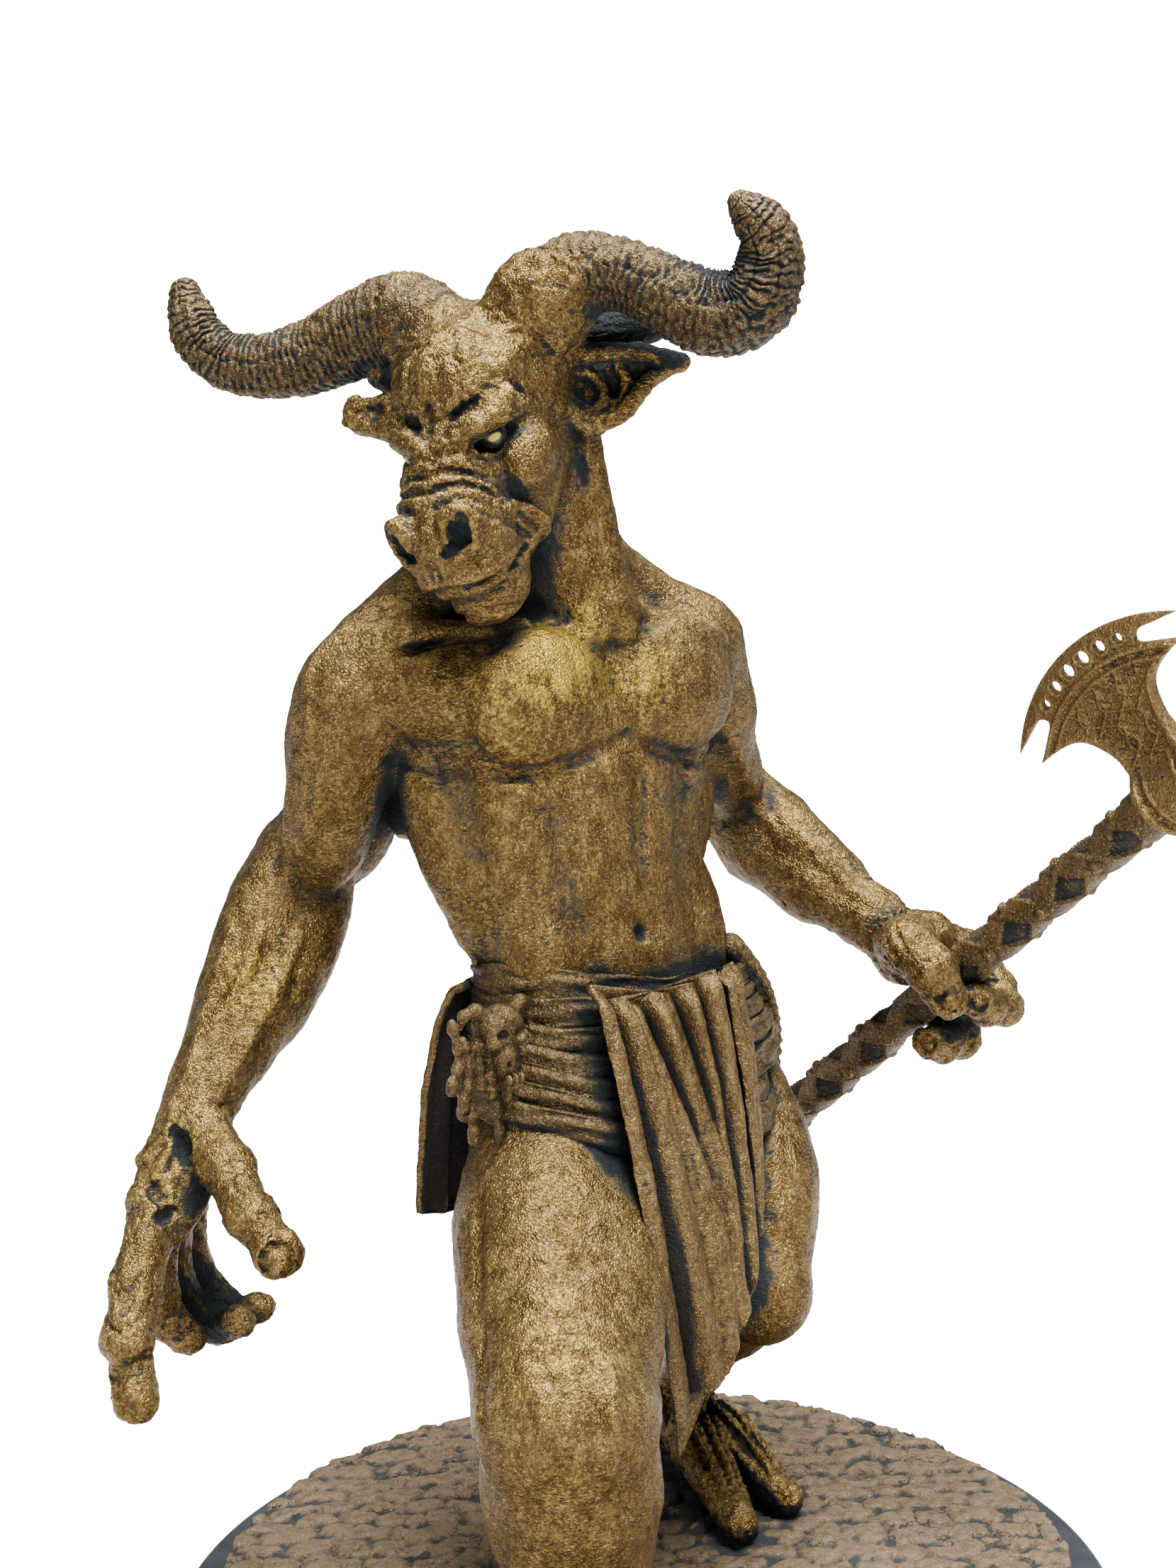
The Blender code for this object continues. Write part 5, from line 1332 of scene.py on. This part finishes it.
# Each turn of cloth is a rounded roll on an oval about the spine. It sags at the front, its thickness
# wavers, and small waves run along it as creases.
wraps = []
for i in range(7):
    angle = full_turn(196)[:, None]
    drop = (1.0 + 0.5 * i) * np.maximum(0, np.sin(angle)) + np.sin(2 * angle + i)
    z = 120.2 - 2.2 * np.cos(angle - 0.35) - 3.2 * i - drop
    under_fall = smooth_step(1.05, 1.3, angle) * smooth_step(2.25, 2.05, angle)
    push = 1.0 * i * np.maximum(0, np.cos(angle - 2.2)) - 2.6 * under_fall
    push = push + (3.0 + 0.2 * i) * (i < 5) * bell(angle - 0.45, 0.45)
    turn = np.radians(np.interp(z, SPINE_Z, SPINE_TURN))
    section = full_turn(28)[None, :]
    wave = 0.35 * np.sin(3 * angle + 2 * i) + 0.3 * np.sin(7 * angle + i)
    crease = 0.26 * np.sin(6 * section + 5 * angle + i) + 0.14 * np.sin(9 * section - 9 * angle)
    out = (1.1 + 0.3 * wave) * np.cos(section) + crease
    rise = (2.7 + 0.5 * wave) * np.sin(section) + 0.25 * np.sin(11 * angle + i)
    left = (22.6 + 0.7 * i + push + out) * np.cos(angle)
    front = (15.9 + 0.65 * i + push + out) * np.sin(angle)
    spine_x, spine_y = np.interp(z, SPINE_Z, SPINE_X), np.interp(z, SPINE_Z, SPINE_Y)
    x = spine_x + left * np.cos(turn) + front * np.sin(turn)
    y = spine_y + left * np.sin(turn) - front * np.cos(turn)
    wraps.append(painted(ring_piece("waist_wrap", np.stack([x, y, z + rise], -1)), horn_bronze))

clay = Clay((-34, -24, 92), (34, 34, 126), 1.0 * grain)
lump(torso(0, -1, 107), (21.8, 14.5, 12), axes(107), 2)
core = painted(clay_piece("waist_core", clay), cloth_bronze)


# Belt ornaments: a small beast's skull with cords and tassels at the right and a knotted strap with tabs
# at the left, both modelled on the wraps and cast with them.

clay = Clay((-38, -34, 84), (-6, -2, 128), 0.3 * grain)
a = axes(113)
skull = np.array([-19.8, -20.6, 115.0])


def on_skull(left, front, up):
    """A point given from the middle of the small skull."""
    return skull + left * a[0] + front * a[1] + up * a[2]


lump(on_skull(0, 0, 2.2), (3.9, 3.2, 3.6), a, 0.8)
lump(on_skull(0, 0.8, -2.6), (2.2, 2.4, 3.4), a, 0.8)
for s in (-1, 1):
    lump(on_skull(s * 2.4, 1.2, 0.2), (1.5, 1.6, 1.2), a, 0.6)
    lump(on_skull(s * 1.6, 3.2, 1.4), (1.1, 1.5, 1.0), a, 0.25, True)
    lump(on_skull(s * 0.7, 3.4, -3.4), (0.45, 1.1, 0.9), a, 0.2, True)
    horn_line = ((2.6, -0.4, 4.0), (4.4, -0.6, 5.4), (6.2, -1.2, 4.8), (6.8, -1.6, 2.8))
    chain([on_skull(s * left, front, up) for left, front, up in horn_line], (1.2, 1.1, 0.9, 0.5), 0.5)
    for k in range(4):
        spot = on_skull(s * (5.6 + 0.2 * k), -1.8, -1.0 - 3.2 * k)
        lump(spot, (1.5, 1.3, 1.7), a, 0.4)
        lump(spot + a[1] * 1.2, (0.5, 0.8, 0.5), a, 0.2, True)
for k in range(3):
    lump(on_skull(-1.2 + 1.2 * k, 3.2, -5.6), (0.45, 0.9, 0.9), a, 0.25)
random = np.random.default_rng(8)
for k in range(11):
    start = on_skull(-8.5 + 1.7 * k, -1.2 + 0.3 * sin(2 * k), 4.0 - 9 * (k % 3) / 3)
    drop = 9 + 5 * random.random() + (4 if k in (5, 6) else 0)
    sway = random.uniform(-1.2, 1.2)
    end = start - a[0] * sway * 0.4 - a[2] * drop
    strand = spline([start, start + a[0] * sway - a[2] * drop * 0.5, end], 5)
    chain(strand, 0.75 + 0.25 * np.sin(np.arange(len(strand)) * 2.1), 0.45)
    lump(start - a[0] * sway * 0.4 - a[2] * (drop - 1), (0.9, 0.9, 1.5), a, 0.4)
ornament = painted(clay_piece("skull_ornament", clay, 30000), horn_bronze)

clay = Clay((4, -20, 88), (42, 26, 128), 0.32 * grain)
strap_line = ((20.8, 9.8, 122.0), (24.0, 9.8, 116), (26.4, 8.4, 110.5), (28.0, 6.4, 104), (28.8, 4.4, 97.5))
strap = spline([torso(*place) for place in strap_line], 6)
chain(strap, np.linspace(2.1, 1.5, len(strap)), 0.6)
for at in strap[::2]:
    out = unit((at - torso(0, 2, at[2])) * (1, 1, 0))
    across = np.cross(out, (0, 0, 1.0))
    lump(at + out * 0.9, (1.5, 2.4, 1.1), (out, across, (0, 0, 1.0)), 0.4)
    for s in (-1, 1):
        lump(at + out * 1.4 + across * 1.5 * s + (0, 0, -1.1), (0.9, 1.0, 0.8), UPRIGHT, 0.3)
    lump(at + out * 2.1, (0.8, 0.6, 0.5), (out, across, (0, 0, 1.0)), 0.2, True)
hip_strap = painted(clay_piece("hip_strap", clay, 16000), horn_bronze)
# Less painted shade on the strap, which the rough clay of the clothes shelters.
add_painted_shade(hip_strap, (((22, 4, 112), 30, -0.3),))

clothes = (front_fall, side_fall, rear_fall, *wraps, core, ornament, hip_strap)
for piece in (*skins, *eyes, left_horn, right_horn, *clothes):
    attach(piece, "root")
    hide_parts("minotaur")


# Axe handle: cast on its own and slid through the fist, modelled as wood that is bound with crossing
# straps and studs. A knob closes its foot, and a collar stands below the axe head.

handle_bronze = paint("strap_paint", (0.030, 0.018, 0.008), (0.090, 0.053, 0.019), (0.22, 0.138, 0.046),
                      (0.22, 0.15, 0.06), TEAL, 0.6, 0.42)

WOOD_RADIUS, KNOB_RADIUS, COLLAR_RADIUS = 3.05, 4.4, 4.3
PITCH, BAND = 14.5, 3.3
FIRST_STUD = 4.0
handle_foot, handle_length = -19.0, float(np.linalg.norm(SHAFT_TOP - SHAFT_FOOT)) + 9.0
place = np.linspace(handle_foot, handle_length, 410)[:, None]
turn = full_turn(56)[None, :]
radius = WOOD_RADIUS + 0.12 * np.sin(tau * place / 0.9 + 2 * np.sin(turn)) + 0.07 * np.sin(5 * turn + place)
# Two straps wind each way: each is a raised band about a spiral of two starts, with a fine bead on its edge.
for hand, strap_height in ((-1, 0.80), (1, 0.58)):
    along = (place - FIRST_STUD + hand * 2 * PITCH * turn / tau) % PITCH
    along = np.minimum(along, PITCH - along)
    edge = 0.14 * bell(along - BAND + 0.5, 0.22)
    strap = (strap_height + edge) * smooth_step(BAND + 0.2, BAND - 0.05, along)
    radius = np.maximum(radius, WOOD_RADIUS + strap)
# A domed stud sits in a small ditch at each of their crossings.
for turn_at, offset in ((0.0, 0.0), (pi / 2, PITCH / 2), (pi, 0.0), (-pi / 2, PITCH / 2)):
    for k in range(-1, 8):
        apart = ((turn - turn_at + pi) % tau - pi) * 3.8
        reach = np.sqrt((place - (FIRST_STUD + offset + PITCH * k)) ** 2 + apart**2)
        stud = np.sqrt(np.clip(1 - reach**2, 0, 1))
        radius = radius + 0.7 * stud - 0.2 * bell(reach - 1.35, 0.3)
collar_foot = smooth_step(handle_length - 20, handle_length - 19.6, place)
collar = collar_foot * smooth_step(handle_length - 14.0, handle_length - 14.4, place)
radius = np.maximum(radius, COLLAR_RADIUS * collar)
knob = KNOB_RADIUS * np.sqrt(np.clip(1 - ((place - handle_foot - 3.0) / 3.0) ** 2, 0, 1))
neck_of_knob = np.where(place > handle_foot + 3.5, 3.2, 0.05)
radius = np.where(place < handle_foot + 6, np.maximum(knob, neck_of_knob), radius)
# The handle is slimmer inside the fist, where no strap shows.
from_grip = place - float(np.linalg.norm(GRIP - SHAFT_FOOT))
in_fist = smooth_step(-14, -10, from_grip) * smooth_step(15, 11, from_grip)
radius = np.minimum(radius, 4.6 - 1.1 * in_fist)
radius = np.where(place > handle_length - 11, 3.4, radius)
outwards = np.cos(turn)[:, :, None] * NEAR + np.sin(turn)[:, :, None] * UNDER
rings = SHAFT_FOOT + SHAFT * place[:, :, None] + radius[:, :, None] * outwards
handle = painted(tube_piece("axe_handle", rings), handle_bronze)
# The wood between the straps is low on the handle, so the wash stays on it.
places = skin_of(handle)[0] - SHAFT_FOOT
bare = smooth_step(3.55, 3.25, np.linalg.norm(places - (places @ SHAFT)[:, None] * SHAFT, axis=1))
store(handle, "shelter", 0.55 * bare - 0.05)
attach(handle, "root")
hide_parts("axe_handle")


# Axe head: cast on its own and slid on the handle's end, two crescent blades on a ringed socket. The
# blades are pierced along their edge and chased in low relief with crossing waves.

blade_bronze = paint("blade_paint", (0.085, 0.048, 0.016), (0.17, 0.10, 0.033), (0.30, 0.195, 0.068),
                     (0.28, 0.19, 0.08), TEAL, 0.75, 0.38)

BLADE_TURN = radians(-19.7)
ACROSS = -cos(BLADE_TURN) * UNDER + sin(BLADE_TURN) * NEAR
FACE = np.cross(ACROSS, SHAFT)
REACH = 29.5
EDGE = 32.9
SHRINK = 0.927


def outline_distance(outline, x, y):
    """Distance to a closed outline, negative inside. Its crossings to the right give the sign."""
    far, inside = np.inf, False
    for (ax, ay), (bx, by) in zip(outline, np.roll(outline, -1, axis=0)):
        t = np.clip(((x - ax) * (bx - ax) + (y - ay) * (by - ay)) / ((bx - ax) ** 2 + (by - ay) ** 2 + 1e-9),
                    0, 1)
        far = np.minimum(far, np.hypot(x - ax - t * (bx - ax), y - ay - t * (by - ay)))
        if ay != by:
            inside = inside ^ (((ay > y) != (by > y)) & (x < ax + (y - ay) * (bx - ax) / (by - ay)))
    return np.where(inside, -far, far)


arc = np.radians(np.linspace(0, 40.5, 30))
edge_points = np.stack([REACH - EDGE + EDGE * np.cos(arc), EDGE * np.sin(arc)], -1)
hook = spline([edge_points[-1], (22.9, 17.0), (23.8, 13.4), (22.5, 11.8), (20.9, 13.6), (18.0, 18.8)], 6)
waist = spline([(18.0, 18.8), (17.6, 13.5), (16.2, 9.6), (13.0, 7.4), (8.0, 6.0), (-1.0, 5.4)], 6)
half_outline = np.vstack([edge_points, hook[1:], waist[1:]])
blade_outline = np.vstack([half_outline, (half_outline * (1, -1))[::-1]])
axe = Clay((-31, -24, -6.4), (31, 24, 6.4), 0.25 * grain, 1.0)
across, along, through = (np.arange(n) * axe.cell + low for n, low in zip(axe.far.shape, axe.low))
across, along = np.meshgrid(across / SHRINK, along / SHRINK, indexing="ij")
side = np.abs(across)
flat = outline_distance(blade_outline, side, along)
edge_way = np.hypot(side - REACH + EDGE, along)
inner = -flat
half = 0.30 + 0.45 * smooth_step(EDGE, EDGE - 2.6, edge_way) + 0.10 * smooth_step(27.7, 27.2, edge_way)
for at, wide, high in ((27.3, 0.40, 0.55), (25.5, 0.38, 0.5)):
    half = half + high * bell(edge_way - at, wide)
rim_line = 0.32 * bell(inner - 0.8, 0.45) * smooth_step(26.5, 25.5, edge_way)
# The chased field lies inside the rim. Four waves that swing both ways across it cross like plaited bands.
field = smooth_step(1.5, 2.0, inner) * smooth_step(25.0, 24.4, edge_way) * smooth_step(6.2, 7.0, side)
swing = 1.5 * np.sin(0.8 * side)
knots = 0
for phase, lean in ((0, 1), (1.6, -1), (3.2, 1), (4.8, -1)):
    strand = np.sin(0.62 * along + lean * swing * 0.7 + phase + 0.35 * side * lean)
    knots = np.maximum(knots, bell(strand, 0.20) * (0.75 + 0.25 * np.sin(1.3 * along + phase)))
BEAD_STEP = 1.7
bead_phase = pi * np.arctan2(along, side - REACH + EDGE) * EDGE / BEAD_STEP
beads = bell(np.sin(bead_phase), 0.7) * bell(edge_way - 24.0, 0.4)
half = half + rim_line + field * (0.5 * knots - 0.15) + 0.15 * beads * smooth_step(1.0, 1.5, inner)
half = half + 1.4 * smooth_step(11, 5, side)
HOLE_LINE = 30.0
for sign in (1, -1):
    for i, size in enumerate((0.8, 1.05, 1.2, 1.2, 1.05, 0.8)):
        angle = radians(-19 + 7.6 * i)
        middle = sign * (REACH - EDGE + HOLE_LINE * cos(angle)), HOLE_LINE * sin(angle)
        hole = np.hypot(across - middle[0], along - middle[1]) - size
        flat = np.maximum(flat, -hole)
        half = half + 0.16 * bell(hole - 0.35, 0.3)
blades = np.maximum(SHRINK * flat[:, :, None], np.abs(through) - half[:, :, None])
round_way = np.hypot(SHRINK * across[:, :, None], through[None, None, :])
# The socket is a tube with a ring near each end and two finer ones between, and its join is rounded.
end_ring = 0.7 * smooth_step(0.9, 0.5, np.abs(np.abs(along) - 5.9))
socket_radius = 5.1 + end_ring + 0.35 * smooth_step(0.5, 0.3, np.abs(np.abs(along) - 3.4))
socket = np.maximum(round_way - socket_radius[:, :, None], np.abs(along)[:, :, None] - 7.0)
head_field = np.minimum(blades, socket) - np.maximum(1.2 - np.abs(blades - socket), 0) ** 2 / 4.8
head_field = np.maximum(head_field, 3.8 - round_way)
axe.far[:] = np.clip(head_field, -1, 1)
axe_place = (SHAFT_TOP, np.array((ACROSS, SHAFT, FACE)))
axe_head = painted(clay_piece("axe_head", axe, 84000, axe_place), blade_bronze)
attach(axe_head, "root")
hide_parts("axe_head")


# Cobbled ground: a thin cast slab with an uneven rim, glued on the plinth and painted brown over blue-grey
# joints. Its stones lie in bent courses, and the two hooves stand on them.

stone_paint = paint("ground_paint", (0.062, 0.039, 0.020), (0.125, 0.080, 0.042), (0.24, 0.165, 0.088),
                    (0.22, 0.160, 0.095), (0.034, 0.041, 0.041), 0.12, 0.60, 0.22)


def cobbles(x, y):
    """Height of the paving under its top.

    The place is bent by soft noise, then cut into courses and each course into stones, shifted by half a
    stone from the one before. A stone is a worn cushion that leans back like a shingle, with its own
    height.
    """
    spots = np.stack([x, y, 0 * x], -1)
    bend_x, bend_y = (1.9 * ripple(spots, 16, seed) + 0.8 * ripple(spots, 6, seed + 1) for seed in (51, 53))
    across, along = (x + bend_x) / 8.2, (y + 0.75 * bend_y) / 5.3
    course = np.floor(along)
    shift = course * 0.5 + 0.16 * np.sin(course * 12.9)
    stone = np.floor(across + shift)
    u, v = across + shift - stone, along - course
    own = np.sin(course * 78.2 + stone * 37.7) * 437.5
    own = own - np.floor(own)
    edge = (np.abs(2 * u - 1) ** 3.4 + np.abs(2 * v - 1) ** 3.0) ** (1 / 3.2)
    joint = smooth_step(1.04, 0.80, edge)
    lean = 0.42 * (0.5 - v) + 0.22 * (own - 0.5) * (2 * u - 1)
    fine = 0.10 * ripple(spots, 1.9, 55) + 0.14 * ripple(spots, 4.5, 57)
    return -1.35 + joint * (1.0 + lean + 0.35 * (own - 0.6)) + fine


def rim_radius(angle):
    """The worn rim: a circle with waves from five to sixty-seven round it."""
    worn = 0.5 * np.sin(5 * angle + 1) + 0.35 * np.sin(11 * angle) + 0.3 * np.sin(17 * angle + 2)
    return 72.2 + worn + 0.16 * np.sin(41 * angle + 1) + 0.12 * np.sin(67 * angle)


count = 188
t = np.linspace(-1, 1, count)
u, v = np.meshgrid(t, t, indexing="ij")
x, y = u * np.sqrt(1 - v**2 / 2), v * np.sqrt(1 - u**2 / 2)
reach = rim_radius(np.arctan2(y, x))
x, y = x * reach, y * reach
inside = smooth_step(0, 2.5, reach - np.hypot(x, y))
z = GROUND_TOP + np.minimum(cobbles(x, y), 0.0) - 0.5 * (1 - inside)
top = np.stack([x, y, z], -1).reshape(-1, 3)
index = np.arange(count * count).reshape(count, count)
loop = np.concatenate([index[:-1, 0], index[-1, :-1], index[:0:-1, -1], index[0, :0:-1]])
many = len(loop)
angle = np.arctan2(top[loop, 1], top[loop, 0])
side_rows = (16.2, 0.25), (15.0, 0.05), (13.8, -0.25), (12.8, -0.1), (12.3, -0.4)
rows = []
for k, (level, push) in enumerate(side_rows):
    uneven = 0.35 * np.sin(23 * angle + 2 * k) * np.sin(9 * angle + k)
    radius = rim_radius(angle) + (push + uneven - 0.3)
    rows.append(np.stack([radius * np.cos(angle), radius * np.sin(angle), np.full(many, level)], -1))
points = np.vstack([top, *rows, [(0, 0, side_rows[-1][0])]])
quads = [np.stack([index[:-1, :-1], index[1:, :-1], index[1:, 1:], index[:-1, 1:]], -1).reshape(-1, 4)]
ring = loop
for k in range(len(rows)):
    below = count * count + k * many + np.arange(many)
    quads.append(np.stack([ring, below, np.roll(below, -1), np.roll(ring, -1)], -1))
    ring = below
fan = np.stack([np.roll(ring, -1), ring, np.full(many, len(points) - 1)], -1)
ground = show("cobbled_ground", outward(mesh_from("cobbled_ground", points, np.vstack(quads), fan)))
painted(ground, stone_paint, 1.2)
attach(ground, "root")
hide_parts("cobbled_ground")


# Plinth: a disc turned with eased edges and painted dark slate. It carries the ground and rests on its
# flat underside.

slate, slate_tree, slate_surface = new_material("plinth_paint")
slate_place = slate_tree.nodes.new("ShaderNodeTexCoord").outputs["Object"]
mottle = ramp_in(slate_tree, noise_in(slate_tree, slate_place, 9, 4), 0.35, 0.7)
slate_tone = mix_in(slate_tree, mottle, (0.030, 0.035, 0.042, 1), (0.046, 0.053, 0.062, 1))
slate_tree.links.new(slate_tone, slate_surface.inputs["Base Color"])
slate_surface.inputs["Roughness"].default_value = 0.42
slate_bump = node_in(slate_tree, "ShaderNodeBump", Strength=0.25, Distance=0.1 * UNIT)
slate_tree.links.new(noise_in(slate_tree, slate_place, 0.8, 2), slate_bump.inputs["Height"])
slate_tree.links.new(slate_bump.outputs["Normal"], slate_surface.inputs["Normal"])

turn = full_turn(160)
profile = [(2, 0), (77, 0), (78.7, 0.02), (79.2, 0.12), (79.65, 0.4), (79.92, 0.8), (80, 1.3), (80, 2.5),
           (80, 9.5), (80, 10.7), (79.92, 11.2), (79.65, 11.6), (79.2, 11.88), (78.7, 11.98), (77, 12),
           (2, 12)]
rings = np.stack([np.stack([r * np.cos(turn), r * np.sin(turn), np.full(len(turn), h)], -1)
                  for r, h in profile])
plinth = tube_piece("plinth", rings)
plinth.data.materials.append(slate)
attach(plinth, "root")
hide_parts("plinth")


# Studio: a pale floor, four soft lights and the camera where the photograph was taken from.

floor_mesh = bpy.data.meshes.new("floor")
floor_mesh.from_pydata([(-3, -3, 0), (3, -3, 0), (3, 3, 0), (-3, 3, 0)], [], [(0, 1, 2, 3)])
floor = show("floor", floor_mesh)
floor.location.z = -0.0004
floor_paint, floor_tree, floor_surface = new_material("floor_paint")
floor_surface.inputs["Base Color"].default_value = (0.85, 0.85, 0.85, 1)
floor_surface.inputs["Roughness"].default_value = 0.9
floor_surface.inputs["Emission Color"].default_value = (1, 1, 1, 1)
# Only the camera sees this brightness, so the floor and the world beyond it come out as one pale ground.
SEEN_WHITE = 16.0
seen = floor_tree.nodes.new("ShaderNodeLightPath").outputs["Is Camera Ray"]
glow = math_in(floor_tree, "MULTIPLY", seen, SEEN_WHITE)
floor_tree.links.new(glow, floor_surface.inputs["Emission Strength"])
floor_mesh.materials.append(floor_paint)

world = bpy.data.worlds.new("studio")
world.use_nodes = True
world_tree = world.node_tree
background = world_tree.nodes["Background"]
background.inputs["Color"].default_value = (1, 1, 1, 1)
seen = world_tree.nodes.new("ShaderNodeLightPath").outputs["Is Camera Ray"]
SOFT_DAYLIGHT = 0.20
glow = math_in(world_tree, "MULTIPLY_ADD", seen, SEEN_WHITE, SOFT_DAYLIGHT)
world_tree.links.new(glow, background.inputs["Strength"])
bpy.context.scene.world = world


STATUE_MIDDLE = Vector((0, 0, 0.13))


def soft_light(name, place, size, power):
    """Round light that faces the middle of the statue."""
    light = bpy.data.lights.new(name, "AREA")
    light.shape = "DISK"
    light.size = size
    light.energy = power
    lamp = show(name, light)
    lamp.location = place
    lamp.rotation_mode = "QUATERNION"
    lamp.rotation_quaternion = (STATUE_MIDDLE - Vector(place)).to_track_quat("-Z", "Y")


soft_light("key_light", (0.20, -0.46, 1.0), 0.42, 14.5)
soft_light("fill_light", (-0.8, -0.5, 0.40), 0.8, 1.4)
soft_light("top_light", (0.05, -0.02, 1.05), 0.5, 21)
soft_light("rim_light", (0.75, 0.45, 0.65), 0.5, 1.5)

camera_data = bpy.data.cameras.new("photo_camera")
camera_data.sensor_width = 36
camera_data.lens = 54.1
camera_data.clip_start = 0.01
camera_data.clip_end = 20
camera = show("photo_camera", camera_data)
look_down, roll = radians(8.6), radians(1.8)
right = Vector((1, 0, 0))
up = Vector((0, sin(look_down), cos(look_down)))
forward = Vector((0, cos(look_down), -sin(look_down)))
image_right = cos(roll) * right - sin(roll) * up
image_up = sin(roll) * right + cos(roll) * up
facing = Matrix((image_right, image_up, -forward)).transposed()
camera.matrix_world = Matrix.Translation((-0.005, -0.378, 0.209)) @ facing.to_4x4()
bpy.context.scene.camera = camera
